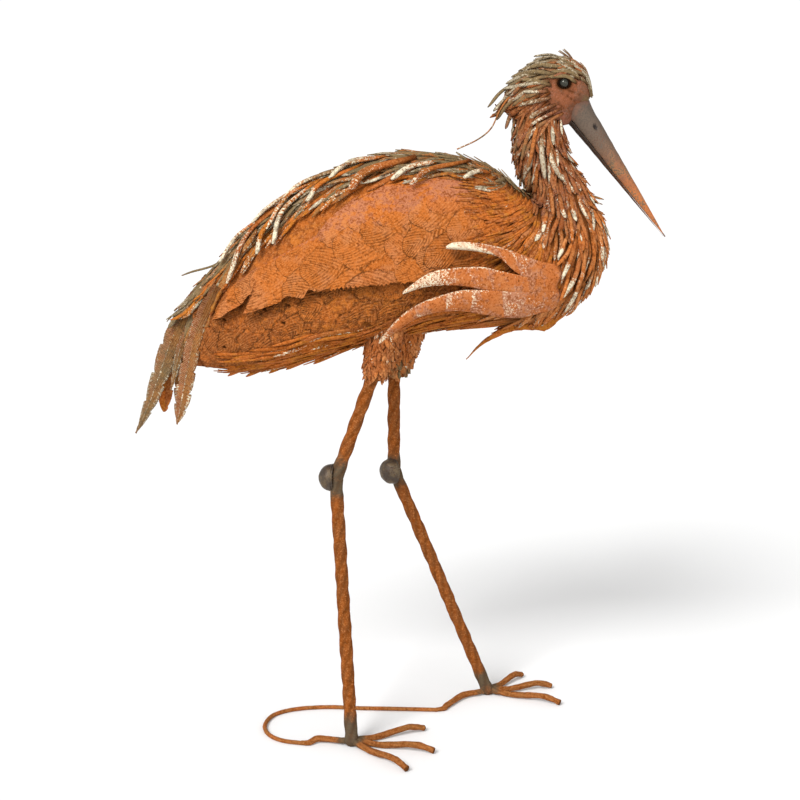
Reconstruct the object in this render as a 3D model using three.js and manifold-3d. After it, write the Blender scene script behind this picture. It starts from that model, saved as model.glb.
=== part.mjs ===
// An iron garden sculpture of a long-legged wading bird, standing on its toes and on a wire hoop.
// Sheet iron shells and comb-cut rows of feathers, with bar iron legs. Millimetres, +Z up.
// +X is the way that the bird faces, +Y its left side. The design frame has its ground at Z = 0.
import * as THREE from "three";
import { mergeVertices } from "three/addons/utils/BufferGeometryUtils.js";
import Module from "manifold-3d";

const wasm = await Module();
wasm.setup();

// Driving dimensions
const SHEET = 1.6; // thickness of a feather or a wing, in sheet iron
const CLEAR = 0.4; // gap between two pieces that are welded together
const LEG_BAR = 18; // leg bar, across
const TOE_BAR = 10.5; // toe bar, across
const HOOP_WIRE = 6; // wire of the hoop on the ground
const KNEE_DOME = 19; // radius of the half ball behind a knee
const EYE_BALL = 6.2; // radius of an eye
const TAU = Math.PI * 2;

// Colours of the finishes
const RUST = 0xb5622c;
const DARK_RUST = 0x7c4426;
const BARE_IRON = 0x5b5148;
const EYE_IRON = 0x2e2f2a;

const finish = (color, roughness = 0.85, metalness = 0.25) =>
  new THREE.MeshStandardMaterial({ color, roughness, metalness });
const rust = finish(RUST);
const darkRust = finish(DARK_RUST);
const bareIron = finish(BARE_IRON, 0.6, 0.6);
const eyeIron = finish(EYE_IRON, 0.3, 0.8);

// Stations of the body, from the tail end to the top of the neck. Each has a point [x, z] on the back
// line, a point on the belly, breast and throat line, and half the width across.
const STATIONS = [
  { back: [-281, 628], front: [-284, 524], half: 36 }, // tail end
  { back: [-214, 699], front: [-218, 519], half: 66 }, // rump
  { back: [-126, 770], front: [-128, 534], half: 92 }, // hips
  { back: [-27, 809], front: [-28, 565], half: 102 }, // back
  { back: [71, 811], front: [72, 580], half: 94 }, // shoulders
  { back: [127, 792], front: [140, 583], half: 84 }, // root of the neck
  { back: [160, 768], front: [214, 600], half: 74 }, // foot of the breast
  { back: [180, 752], front: [266, 647], half: 62 }, // breast
  { back: [177, 764], front: [277, 705], half: 50 }, // top of the breast
  { back: [166, 788], front: [256, 761], half: 38 }, // low neck
  { back: [158, 822], front: [227, 809], half: 29 }, // middle of the neck
  { back: [155, 874], front: [216, 864], half: 23 }, // top of the neck
];
const RIDGE = 0.16; // how much narrower the back is than the belly
const FULLNESS = 0.05; // how full the flanks are, against an ellipse
const NECK_CUT = 5; // the station where the torso ends and the neck starts
const NECK_TOP = STATIONS.length - 1;

// A smooth line through one point for each station
const lineThrough = (points) => {
  const curve = new THREE.CatmullRomCurve3(points, false, "catmullrom", 0.5);
  return (s) => curve.getPoint(THREE.MathUtils.clamp(s / NECK_TOP, 0, 1));
};
const backLine = lineThrough(STATIONS.map((k) => new THREE.Vector3(k.back[0], k.half, k.back[1])));
const frontLine = lineThrough(STATIONS.map((k) => new THREE.Vector3(k.front[0], k.half, k.front[1])));

// A point on the skin of the body: s counts stations, angle is 0 on the back line and half a turn on
// the front line, and a positive angle is on the bird's left.
function skin(s, angle) {
  const top = backLine(s);
  const bottom = frontLine(s);
  const half = top.y;
  const up = new THREE.Vector3((top.x - bottom.x) / 2, 0, (top.z - bottom.z) / 2);
  const across =
    (half * (Math.sin(angle) + FULLNESS * Math.sin(3 * angle)) * (1 - RIDGE * Math.cos(angle))) /
    (1 - FULLNESS);
  return new THREE.Vector3((top.x + bottom.x) / 2, across, (top.z + bottom.z) / 2).addScaledVector(
    up,
    Math.cos(angle),
  );
}

// A point at a height above any surface(s, angle), by its outward normal
function raised(surface, s, angle, lift) {
  const step = 0.01;
  const along = surface(s + step, angle).sub(surface(s - step, angle));
  const around = surface(s, angle + step).sub(surface(s, angle - step));
  return surface(s, angle).addScaledVector(along.cross(around).normalize(), lift);
}
const above = (s, angle, lift) => raised(skin, s, angle, lift);
const skinNormal = (s, angle) => above(s, angle, 1).sub(skin(s, angle));

// Collects vertices and faces, and closes into a geometry
class Shell {
  constructor() {
    this.points = [];
    this.faces = [];
  }
  add(v) {
    this.points.push(v.x, v.y, v.z);
    return this.points.length / 3 - 1;
  }
  triangle(a, b, c) {
    if (a !== b && b !== c && a !== c) this.faces.push(a, b, c);
  }
  quad(a, b, c, d) {
    this.triangle(a, b, c);
    this.triangle(a, c, d);
  }
  geometry() {
    const made = new THREE.BufferGeometry();
    made.setAttribute("position", new THREE.Float32BufferAttribute(this.points, 3));
    made.setIndex(this.faces);
    return outward(made);
  }
}

// Gives a geometry shared vertices, whatever three.js made it with
function indexed(geometry) {
  geometry.deleteAttribute("normal");
  geometry.deleteAttribute("uv");
  const merged = mergeVertices(geometry, 1e-4);
  const index = merged.index.array;
  const kept = [];
  for (let i = 0; i < index.length; i += 3) {
    const [a, b, c] = index.slice(i, i + 3);
    if (a !== b && b !== c && a !== c) kept.push(a, b, c);
  }
  return merged.setIndex(kept);
}

// Turns a closed geometry's faces outwards, by the sign of its volume
function outward(geometry) {
  const p = geometry.getAttribute("position");
  const index = geometry.index.array;
  const [a, b, c] = [new THREE.Vector3(), new THREE.Vector3(), new THREE.Vector3()];
  let volume = 0;
  for (let i = 0; i < index.length; i += 3) {
    a.fromBufferAttribute(p, index[i]);
    b.fromBufferAttribute(p, index[i + 1]);
    c.fromBufferAttribute(p, index[i + 2]);
    volume += a.dot(b.cross(c));
  }
  if (volume >= 0) return geometry;
  for (let i = 0; i < index.length; i += 3) {
    [index[i + 1], index[i + 2]] = [index[i + 2], index[i + 1]];
  }
  return geometry;
}

// A solid through rings of points, one after another, with a flat or pointed end cap
function loft(rings) {
  const shell = new Shell();
  const rows = rings.map((ring) => ring.map((v) => shell.add(v)));
  const n = rings[0].length;
  for (let r = 0; r + 1 < rows.length; r++)
    for (let k = 0; k < n; k++) {
      const next = (k + 1) % n;
      shell.quad(rows[r][k], rows[r][next], rows[r + 1][next], rows[r + 1][k]);
    }
  const cap = (row, ring, flip) => {
    const centre = shell.add(
      ring.reduce((sum, v) => sum.add(v), new THREE.Vector3()).divideScalar(n),
    );
    for (let k = 0; k < n; k++) {
      const next = (k + 1) % n;
      if (flip) shell.triangle(centre, row[next], row[k]);
      else shell.triangle(centre, row[k], row[next]);
    }
  };
  cap(rows[0], rings[0], true);
  cap(rows.at(-1), rings.at(-1), false);
  return shell.geometry();
}

// A sheet between an outer and an inner grid of points, grid[row][column], closed at its four edges
function plate(outer, inner) {
  const shell = new Shell();
  const o = outer.map((row) => row.map((v) => shell.add(v)));
  const i = inner.map((row) => row.map((v) => shell.add(v)));
  const [rows, columns] = [o.length - 1, o[0].length - 1];
  for (let r = 0; r < rows; r++)
    for (let c = 0; c < columns; c++) {
      shell.quad(o[r][c], o[r][c + 1], o[r + 1][c + 1], o[r + 1][c]);
      shell.quad(i[r][c], i[r + 1][c], i[r + 1][c + 1], i[r][c + 1]);
    }
  for (let c = 0; c < columns; c++) {
    shell.quad(o[0][c], i[0][c], i[0][c + 1], o[0][c + 1]);
    shell.quad(o[rows][c], o[rows][c + 1], i[rows][c + 1], i[rows][c]);
  }
  for (let r = 0; r < rows; r++) {
    shell.quad(o[r][0], o[r + 1][0], i[r + 1][0], i[r][0]);
    shell.quad(o[r][columns], i[r][columns], i[r + 1][columns], o[r + 1][columns]);
  }
  return shell.geometry();
}

// A loft along a surface whose rings step up to ragged feather tips. Each row of feathers leaves the
// surface at its root, rises to its tips, and drops back behind them. tips(s, angle) is their height.
function feathered(surface, { from, to, rows, columns, tips }) {
  const DROP = 0.03; // the share of a row over which its tips fall back to the surface
  const NOTCH = 0.45; // how far up a row the notch between two tips is
  const length = (to - from) / rows;
  const rings = [];
  const plain = (s) => [...Array(columns).keys()].map((c) => surface(s, (c / columns) * TAU));
  rings.push(plain(to));
  for (let r = 1; r < rows; r++) {
    const end = to - r * length;
    const tipRing = [];
    const footRing = [];
    for (let c = 0; c < columns; c++) {
      const angle = (c / columns) * TAU;
      const height = tips(end, angle);
      const isTip = (c + r) % 2 === 0;
      const s = end + (isTip || height === 0 ? 0 : NOTCH * length);
      tipRing.push(raised(surface, s + DROP * length, angle, isTip ? height : 0.4 * height));
      footRing.push(surface(s, angle));
    }
    rings.push(tipRing, footRing);
  }
  rings.push(plain(from));
  return loft(rings);
}

// A long narrow strip that leaves the skin at its root and stands free over it to its tip
function strip({ from, to, width, lift }) {
  const ROWS = 4;
  const outer = [];
  const inner = [];
  for (let r = 0; r <= ROWS; r++) {
    const t = r / ROWS;
    const s = THREE.MathUtils.lerp(from[0], to[0], t);
    const angle = THREE.MathUtils.lerp(from[1], to[1], t);
    const height = THREE.MathUtils.lerp(lift[0], lift[1], Math.sin((t * Math.PI) / 2));
    const normal = skinNormal(s, angle);
    const centre = above(s, angle, height);
    const ahead = above(s + 0.05 * (to[0] - from[0]), angle + 0.05 * (to[1] - from[1]), height);
    const side = ahead.sub(centre).cross(normal).normalize();
    const half = (width / 2) * (t < 0.7 ? 1 : 1 - (t - 0.7) * 2.2);
    const row = [-half, half].map((w) => centre.clone().addScaledVector(side, w));
    outer.push(row.map((v) => v.clone().addScaledVector(normal, SHEET)));
    inner.push(row);
  }
  return plate(outer, inner);
}

// A single long feather along a curve: arched across, widest at a share of its length
function feather({ path, normal, width, tip = 1.5, widest = 0.45, arch = 0.15, rows = 7 }) {
  const curve = new THREE.CatmullRomCurve3(path.map((p) => new THREE.Vector3(...p)));
  const facing = new THREE.Vector3(...normal);
  const outer = [];
  const inner = [];
  for (let r = 0; r <= rows; r++) {
    const t = r / rows;
    const centre = curve.getPoint(t);
    const along = curve.getTangent(t);
    const side = along.clone().cross(facing).normalize();
    const out = side.clone().cross(along).normalize();
    const swell = t < widest ? 0.55 + 0.45 * Math.sin((t / widest) * (Math.PI / 2)) : 1;
    const taper = t > widest ? Math.cos(((t - widest) / (1 - widest)) * (Math.PI / 2)) : 1;
    const half = Math.max(tip, (width / 2) * swell * Math.max(taper, 0) ** 0.8);
    const row = [-1, 0, 1].map((w) =>
      centre
        .clone()
        .addScaledVector(side, w * half)
        .addScaledVector(out, -Math.abs(w) * arch * half),
    );
    outer.push(row.map((v) => v.clone().addScaledVector(out, SHEET / 2)));
    inner.push(row.map((v) => v.clone().addScaledVector(out, -SHEET / 2)));
  }
  return plate(outer, inner);
}

// A bar along a curve. radius(t) is half its thickness, twist is its turns over the whole length, and
// the first and last faces can be tilted to a given normal, for a mitre.
function bar({ path, radius, sides = 8, rows = 8, twist = 0, mitres = {} }) {
  const curve = new THREE.CatmullRomCurve3(path.map((p) => new THREE.Vector3(...p)));
  const rings = [];
  for (let r = 0; r <= rows; r++) {
    const t = r / rows;
    const centre = curve.getPoint(t);
    const along = curve.getTangent(t);
    const hint = Math.abs(along.z) > 0.8 ? new THREE.Vector3(1, 0, 0) : new THREE.Vector3(0, 0, 1);
    const side = hint.clone().cross(along).normalize();
    const up = along.clone().cross(side);
    const mitre = r === 0 ? mitres.first : r === rows ? mitres.last : undefined;
    const ring = [];
    for (let k = 0; k < sides; k++) {
      const angle = ((k + 0.5) / sides) * TAU;
      const turned = angle + twist * t * TAU;
      const v = new THREE.Vector3()
        .addScaledVector(side, radius(t) * Math.cos(turned))
        .addScaledVector(up, radius(t) * Math.sin(turned));
      if (mitre) v.addScaledVector(along, -v.dot(mitre) / along.dot(mitre));
      ring.push(v.add(centre));
    }
    rings.push(ring);
  }
  return loft(rings);
}

// A geometry with its surface moved outwards, for cutting a neighbour that keeps clear of it
function inflated(geometry, distance = 1.5 * CLEAR) {
  const grown = indexed(geometry.clone());
  grown.computeVertexNormals();
  const { position, normal } = grown.attributes;
  for (let i = 0; i < position.count; i++) {
    position.setXYZ(
      i,
      position.getX(i) + distance * normal.getX(i),
      position.getY(i) + distance * normal.getY(i),
      position.getZ(i) + distance * normal.getZ(i),
    );
  }
  return grown;
}

// Cutting one closed geometry with another
function solidOf(geometry) {
  const merged = indexed(geometry.clone());
  return new wasm.Manifold(
    new wasm.Mesh({
      numProp: 3,
      vertProperties: new Float32Array(merged.attributes.position.array),
      triVerts: new Uint32Array(merged.index.array),
    }),
  );
}
function geometryOf(solid) {
  const mesh = solid.getMesh();
  const made = new THREE.BufferGeometry();
  made.setAttribute("position", new THREE.Float32BufferAttribute(mesh.vertProperties, 3));
  made.setIndex([...mesh.triVerts]);
  return made;
}
const cutFree = (geometry, ...tools) =>
  largest(
    geometryOf(tools.reduce((left, tool) => left.subtract(solidOf(tool)), solidOf(geometry))),
  );
const fuse = (geometry, ...others) =>
  largest(geometryOf(others.reduce((whole, other) => whole.add(solidOf(other)), solidOf(geometry))));
const largest = (geometry) =>
  geometryOf(
    solidOf(geometry)
      .decompose()
      .sort((a, b) => b.volume() - a.volume())[0],
  );

const sculpture = new THREE.Group();
function put(name, geometry, material) {
  const mesh = new THREE.Mesh(geometry, material);
  mesh.name = name;
  sculpture.add(mesh);
  return mesh;
}
const SIDES = { right: -1, left: 1 }; // the bird's right side faces the viewer

// The body shell is one skin that is cut in two at the root of the neck
const SEAM = 0.006; // half the gap at the cut, in stations

// Torso: feathered along the back and under the rear of the belly, smooth under the wings
function torsoTips(s, angle) {
  const low = Math.abs(angle - Math.PI); // from the belly line
  if (s < 0.5 || s > 4.7) return 0;
  if (Math.PI - low < 0.75) return 9;
  return low < 0.75 && s < 2.4 ? 7 : 0;
}
const torsoBody = () =>
  feathered(skin, { from: 0, to: NECK_CUT - SEAM, rows: 8, columns: 24, tips: torsoTips });
function torso() {
  const strips = [];
  for (const side of [-1, 1])
    for (const [from, to] of BACK_STRIPS)
      strips.push(
        strip({
          from: [from[0], from[1] * side],
          to: [to[0], to[1] * side],
          width: 13,
          lift: [-2, 10],
        }),
      );
  return fuse(torsoBody(), ...strips);
}

// Long strips that sweep back from the ridge over the top edge of each wing: [station, angle] at the
// root and at the tip
const BACK_STRIPS = [
  [[4.6, 0.45], [3.85, 0.95]],
  [[4.3, 0.5], [3.45, 1.0]],
  [[3.7, 0.4], [2.75, 0.9]],
  [[3.35, 0.4], [2.45, 0.85]],
  [[2.8, 0.45], [2.0, 0.95]],
  [[2.2, 0.5], [1.45, 1.0]],
  [[1.75, 0.55], [1.0, 1.05]],
  [[1.3, 0.6], [0.55, 1.1]],
];

// Neck and breast: rings of strips that run down to the breast and fan out round it
function neckTips(s, angle) {
  const flank = Math.abs(Math.sin(angle)) > 0.7;
  if (s > 10.4) return 0;
  return s < 7.6 && flank ? 4 : 8;
}
const neck = () =>
  feathered(skin, { from: NECK_CUT + SEAM, to: NECK_TOP, rows: 10, columns: 24, tips: neckTips });

// Head: a loft from the nape to the forehead
const HEAD = {
  top: [[143, 888], [156, 914], [184, 933], [213, 942], [242, 932], [257, 907]],
  low: [[150, 868], [165, 857], [190, 852], [214, 851], [237, 858], [253, 880]],
  half: [7, 20, 28, 30, 25, 13],
};
const EYE = { at: [217.5, 27.5, 907] };
const headLine = (points) =>
  new THREE.CatmullRomCurve3(
    points.map((p, k) => new THREE.Vector3(p[0], HEAD.half[k], p[1])),
    false,
    "catmullrom",
    0.5,
  );
const headTop = headLine(HEAD.top);
const headLow = headLine(HEAD.low);
function headSkin(t, angle) {
  const inside = THREE.MathUtils.clamp(t, 0, 1);
  const top = headTop.getPoint(inside);
  const low = headLow.getPoint(inside);
  const rise = Math.cos(angle);
  return new THREE.Vector3(
    (top.x + low.x) / 2 + (rise * (top.x - low.x)) / 2,
    top.y * Math.sin(angle),
    (top.z + low.z) / 2 + (rise * (top.z - low.z)) / 2,
  );
}
function headTips(t, angle) {
  const round = Math.min(angle, TAU - angle);
  if (round > 2.6) return 0;
  if (t > 0.45) return round < 1 ? 3.5 : 0;
  return 6;
}
const headBody = () =>
  feathered(headSkin, { from: 0, to: 1, rows: 6, columns: 20, tips: headTips });
const head = () =>
  cutFree(headBody(), inflated(eyeBall(-1)), inflated(eyeBall(1)), inflated(neck()));
function eyeBall(side) {
  const ball = new THREE.SphereGeometry(EYE_BALL, 10, 7);
  return ball.translate(EYE.at[0], EYE.at[1] * side, EYE.at[2]);
}

// Beak: two halves of one long cone, the lower one thin
const BEAK = {
  root: [239, 873], // middle of its root
  tip: [364, 703],
  deep: 19, // half its depth at the root
  wide: 13.5, // half its width at the root
  split: -0.45, // where the halves part, from -1 below to 1 on top
};
function beakHalf(upper) {
  const axis = new THREE.Vector3(BEAK.tip[0] - BEAK.root[0], 0, BEAK.tip[1] - BEAK.root[1]);
  const rise = new THREE.Vector3(-axis.z, 0, axis.x).normalize();
  const ROWS = 7;
  const rings = [];
  const turn = Math.acos(BEAK.split);
  const [first, last, sides] = upper ? [-turn, turn, 10] : [turn, TAU - turn, 6];
  for (let r = 0; r <= ROWS; r++) {
    const t = r / ROWS;
    const size = Math.max(0.07, (1 - t) ** 0.92);
    const shift = upper ? 0 : -CLEAR;
    const ring = [];
    for (let k = 0; k <= sides; k++) {
      const angle = THREE.MathUtils.lerp(first, last, k / sides);
      ring.push(
        new THREE.Vector3(BEAK.root[0], 0, BEAK.root[1])
          .addScaledVector(axis, upper ? t : 0.99 * t)
          .addScaledVector(rise, BEAK.deep * size * Math.cos(angle) + shift)
          .add(new THREE.Vector3(0, BEAK.wide * size * Math.sin(angle), 0)),
      );
    }
    rings.push(ring);
  }
  return cutFree(loft(rings), inflated(headBody()), inflated(neck()));
}

// A point on the flank of the torso, found from its place in the side view
function onFlank(x, z, lift, side) {
  let [low, high] = [0, 9];
  for (let k = 0; k < 30; k++) {
    const s = (low + high) / 2;
    const top = backLine(s);
    const bottom = frontLine(s);
    const ahead = (top.x - bottom.x) * (z - bottom.z) - (top.z - bottom.z) * (x - bottom.x) < 0;
    if (ahead) low = s;
    else high = s;
  }
  const top = backLine(low);
  const bottom = frontLine(low);
  const span = (top.x - bottom.x) ** 2 + (top.z - bottom.z) ** 2;
  const share = ((x - bottom.x) * (top.x - bottom.x) + (z - bottom.z) * (top.z - bottom.z)) / span;
  const angle = Math.acos(THREE.MathUtils.clamp(2 * share - 1, -0.96, 0.96));
  return above(low, angle * side, lift);
}

// Wing: one embossed sheet draped over the flank, with two free points at its rear. Each column is a
// point [x, z] on the upper edge and one on the scalloped lower edge, in the side view.
const WING = [
  [[-239, 604], [-243, 600]],
  [[-219, 626], [-218, 609]],
  [[-200, 641], [-199, 618]],
  [[-186, 650], [-190, 629]],
  [[-172, 660], [-199, 607]],
  [[-152, 671], [-168, 615]],
  [[-128, 686], [-149, 628]],
  [[-110, 703], [-121, 629]],
  [[-92, 720], [-86, 640]],
  [[-60, 742], [-56, 644]],
  [[-25, 757], [-26, 645]],
  [[15, 764], [8, 657]],
  [[50, 766], [48, 670]],
  [[82, 764], [84, 690]],
  [[99, 750], [100, 709]],
];
const WING_LIFT = [0.6, 13]; // how far it stands off the flank along its upper and lower edges
function wing(side) {
  const ROWS = 5;
  const outer = [];
  const inner = [];
  for (const [top, low] of WING) {
    const line = [];
    for (let r = 0; r <= ROWS; r++) {
      const v = r / ROWS;
      const lift = THREE.MathUtils.lerp(WING_LIFT[0], WING_LIFT[1], v);
      line.push([
        THREE.MathUtils.lerp(top[0], low[0], v),
        THREE.MathUtils.lerp(top[1], low[1], v),
        lift,
      ]);
    }
    outer.push(line.map(([x, z, lift]) => onFlank(x, z, lift + SHEET, side)));
    inner.push(line.map(([x, z, lift]) => onFlank(x, z, lift, side)));
  }
  return plate(outer, inner);
}

// Wing plume: a sheet over the front of the wing that is cut into three long curved fingers
const FINGERS = [
  { path: [[212, 646], [172, 664], [130, 675], [95, 689], [57, 692]], width: 22 },
  { path: [[212, 642], [150, 650], [103, 655], [55, 653], [3, 638]], width: 27 },
  { path: [[214, 636], [160, 628], [110, 628], [60, 630], [15, 618], [-34, 585]], width: 30 },
];
const PLUME_LIFT = 20; // how far the fingers stand off the flank
const PLUME_ROOT_LIFT = 6.5;
function wingPlume(side) {
  const fingers = FINGERS.map(({ path, width }) =>
    feather({
      path: path.map(([x, z], k) => onFlank(x, z, k === 0 ? PLUME_ROOT_LIFT : PLUME_LIFT, side).toArray()),
      normal: [0.1, side, 0.25],
      width,
      widest: 0.3,
      arch: 0.1,
      rows: 8,
    }),
  );
  return cutFree(fuse(...fingers), inflated(neck()));
}

// Thigh: a short feathered cone from the belly to the top of the leg
const THIGHS = {
  right: { top: [-18, -44, 596], bottom: [-37, -45, 511], wide: [31, 13.5] },
  left: { top: [6, 44, 600], bottom: [-8.5, 45, 500], wide: [38, 17] },
};
function thigh({ top, bottom, wide }) {
  const start = new THREE.Vector3(...top);
  const end = new THREE.Vector3(...bottom);
  const radius = (t) => wide[1] + (wide[0] - wide[1]) * t ** 0.8;
  const surface = (t, angle) =>
    end
      .clone()
      .lerp(start, t)
      .add(new THREE.Vector3(-Math.cos(angle), Math.sin(angle), 0).multiplyScalar(radius(Math.max(t, 0))));
  const tips = () => 4;
  const cone = feathered(surface, { from: 0, to: 1, rows: 4, columns: 14, tips });
  return cutFree(cone, inflated(torsoBody()));
}

// Legs: two lumpy bars that meet in a mitre at the knee, with a half ball welded behind it
const LEGS = {
  right: {
    top: [-37, -45, 510.6],
    knee: [-88, -60, 377],
    foot: [-67.5, -88, 10.6],
    dome: { seat: [-5, 4, 0], faces: [-0.97, 0.24, 0] },
  },
  left: {
    top: [-8.5, 45, 499.6],
    knee: [-9, 60, 361],
    foot: [134, 96, 10.6],
    dome: { seat: [-2, -7, 0], faces: [-0.93, -0.37, 0] },
  },
};
function legBars({ top, knee, foot }) {
  const [a, b, c] = [top, knee, foot].map((p) => new THREE.Vector3(...p));
  const mitre = b.clone().sub(a).normalize().add(c.clone().sub(b).normalize()).normalize();
  const half = mitre.clone().multiplyScalar(CLEAR / 2);
  const lumpy = (lumps) => (t) => (LEG_BAR / 2) * (1 + 0.05 * Math.sin(lumps * TAU * t));
  const level = new THREE.Vector3(0, 0, 1);
  const line = (p, q, n) => [...Array(n + 1).keys()].map((k) => p.clone().lerp(q, k / n).toArray());
  return {
    upper: bar({
      path: line(a, b.clone().sub(half), 3),
      radius: lumpy(2),
      rows: 5,
      mitres: { first: level, last: mitre },
    }),
    lower: bar({
      path: line(b.clone().add(half), c, 3),
      radius: lumpy(5),
      rows: 10,
      mitres: { first: mitre, last: level },
    }),
  };
}
function kneeDome({ knee, dome: { seat, faces } }, ...bars) {
  const ARC = 4;
  const profile = [new THREE.Vector2(0, 0)];
  for (let k = 0; k <= ARC; k++) {
    const angle = (k / ARC) * (Math.PI / 2);
    profile.push(new THREE.Vector2(KNEE_DOME * Math.cos(angle), KNEE_DOME * Math.sin(angle)));
  }
  profile[ARC + 1].x = 0;
  const direction = new THREE.Vector3(...faces).normalize();
  const turn = new THREE.Quaternion().setFromUnitVectors(new THREE.Vector3(0, 1, 0), direction);
  const dome = new THREE.LatheGeometry(profile, 12).applyQuaternion(turn);
  dome.translate(knee[0] + seat[0], knee[1] + seat[1], knee[2] + seat[2]);
  return cutFree(outward(indexed(dome)), ...bars.map((b) => inflated(b)));
}

// Feet: a flat-bottomed hub under each leg, three long toes and a hind toe
const HUB = { radius: 12, height: 10 };
const TOES = {
  right: {
    hub: [-67.5, -88],
    inner: [[34.5, -41]],
    middle: [[46.5, -116]],
    outer: [[9, -172]],
    hind: [[-113, -82], [-134.5, -87.5]],
  },
  left: {
    hub: [134, 96],
    inner: [[240, 51]],
    middle: [[234, 117]],
    outer: [[193, 162]],
    hind: [[95, 77], [68, 42], [58, 30]],
  },
};
function toe(hub, route, hind) {
  const centre = new THREE.Vector2(...hub);
  const points = route.map((p) => new THREE.Vector2(...p));
  const heading = points[0].clone().sub(centre).normalize();
  const start = centre.clone().addScaledVector(heading, HUB.radius + CLEAR);
  const rest = TOE_BAR / 2;
  const path = [[start.x, start.y, rest]];
  if (hind) {
    const lift = points.length > 2 ? [rest + 3, rest, rest] : [rest + 3, rest];
    points.forEach((p, k) => path.push([p.x, p.y, lift[k]]));
  } else {
    for (const [t, z] of [[0.35, rest + 1], [0.72, rest + 6], [0.88, rest + 4], [1, rest]]) {
      const p = start.clone().lerp(points[0], t);
      path.push([p.x, p.y, z]);
    }
  }
  return bar({
    path,
    radius: (t) => rest * Math.min(1, 0.6 + 3.2 * t) * (1 + 0.04 * Math.sin(6 * TAU * t)),
    sides: 6,
    rows: 9,
    twist: 0.5,
  });
}

// Hoop: a wire on the ground that joins the two hind toes round the back
const HOOP = [
  [55.6, 27.6], [0, 31], [-60, 34], [-104, 38], [-142, 34], [-170, 23], [-188, 5],
  [-195, -23], [-192, -47], [-180, -68], [-162, -81], [-136.5, -88],
];
const hoop = () =>
  bar({ path: HOOP.map(([x, y]) => [x, y, HOOP_WIRE / 2]), radius: () => HOOP_WIRE / 2, sides: 6, rows: 34 });

// Tail: long arched feathers that hang behind the rump
const NEAR = [-0.2, -0.97, 0.1];
const FAR = [-0.2, 0.97, 0.1];
const TAIL = {
  tail_feather_long: {
    path: [[-262, -5, 648], [-294, -6, 606], [-322, -6, 560], [-343, -6, 505], [-371, -6, 429]],
    normal: NEAR,
    width: 28,
  },
  tail_feather_broad: {
    path: [[-250, -34, 622], [-284, -32, 588], [-300, -30, 540], [-303, -29, 497], [-311, -28, 446]],
    normal: NEAR,
    width: 34,
    widest: 0.6,
  },
  tail_feather_narrow: {
    path: [[-272, -17, 640], [-297, -17, 585], [-315, -17, 530], [-321, -17, 491]],
    normal: NEAR,
    width: 14,
  },
  tail_feather_inner: {
    path: [[-268, 7, 640], [-300, 7, 590], [-322, 7, 530], [-333, 7, 457]],
    normal: FAR,
    width: 26,
  },
  tail_feather_far: {
    path: [[-250, 32, 622], [-286, 31, 585], [-302, 30, 530], [-318, 29, 468]],
    normal: FAR,
    width: 30,
    widest: 0.6,
  },
  tail_strip_stray: {
    path: [[-232, -3, 682], [-256, -3, 665], [-286, -3, 656], [-301, -3, 650]],
    normal: [-0.3, 0, 1],
    width: 9,
  },
};

put("torso", torso(), rust);
put("neck_and_breast", neck(), rust);
put("head", head(), darkRust);
put("beak_upper", beakHalf(true), bareIron);
put("beak_lower", beakHalf(false), darkRust);
put(
  "crest_plume",
  cutFree(
    feather({
      path: [[160, -6, 898], [144, -7, 888], [134, -8, 872], [123, -8, 849], [105, -8, 834], [76, -8, 821]],
      normal: [-0.6, -0.1, 0.8],
      width: 9,
      tip: 1.6,
      widest: 0.15,
      arch: 0,
    }),
    inflated(headBody()),
  ),
  darkRust,
);
put(
  "breast_plume",
  cutFree(
    feather({
      path: [[226, -12, 602], [200, -15, 585], [170, -18, 578], [140, -21, 569], [115, -23, 554], [92, -24, 533]],
      normal: [0.2, -1, -0.3],
      width: 25,
      widest: 0.2,
    }),
    inflated(neck()),
    inflated(torsoBody()),
  ),
  rust,
);
for (const [name, spec] of Object.entries(TAIL)) {
  put(name, cutFree(feather(spec), inflated(torsoBody())), rust);
}
for (const [name, side] of Object.entries(SIDES)) {
  put(`eye_${name}`, eyeBall(side), eyeIron);
  put(`wing_${name}`, wing(side), rust);
  put(`wing_plume_${name}`, wingPlume(side), rust);
  put(`thigh_${name}`, thigh(THIGHS[name]), darkRust);
  const bars = legBars(LEGS[name]);
  put(`upper_leg_${name}`, bars.upper, darkRust);
  put(`lower_leg_${name}`, bars.lower, darkRust);
  put(`knee_${name}`, kneeDome(LEGS[name], bars.upper, bars.lower), bareIron);
  const hub = new THREE.CylinderGeometry(HUB.radius * 0.8, HUB.radius, HUB.height, 12);
  const [x, y] = TOES[name].hub;
  put(`foot_hub_${name}`, hub.rotateX(Math.PI / 2).translate(x, y, HUB.height / 2), bareIron);
  for (const which of ["inner", "middle", "outer", "hind"])
    put(`toe_${which}_${name}`, toe([x, y], TOES[name][which], which === "hind"), darkRust);
}
put("ground_hoop", hoop(), darkRust);

// The origin is put on the ground, under the middle of the whole sculpture
const box = new THREE.Box3().setFromObject(sculpture);
const middle = box.getCenter(new THREE.Vector3());
sculpture.position.set(-middle.x, -middle.y, -box.min.z);
const part = new THREE.Group();
part.add(sculpture);
part.updateMatrixWorld(true);

export default part;
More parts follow.
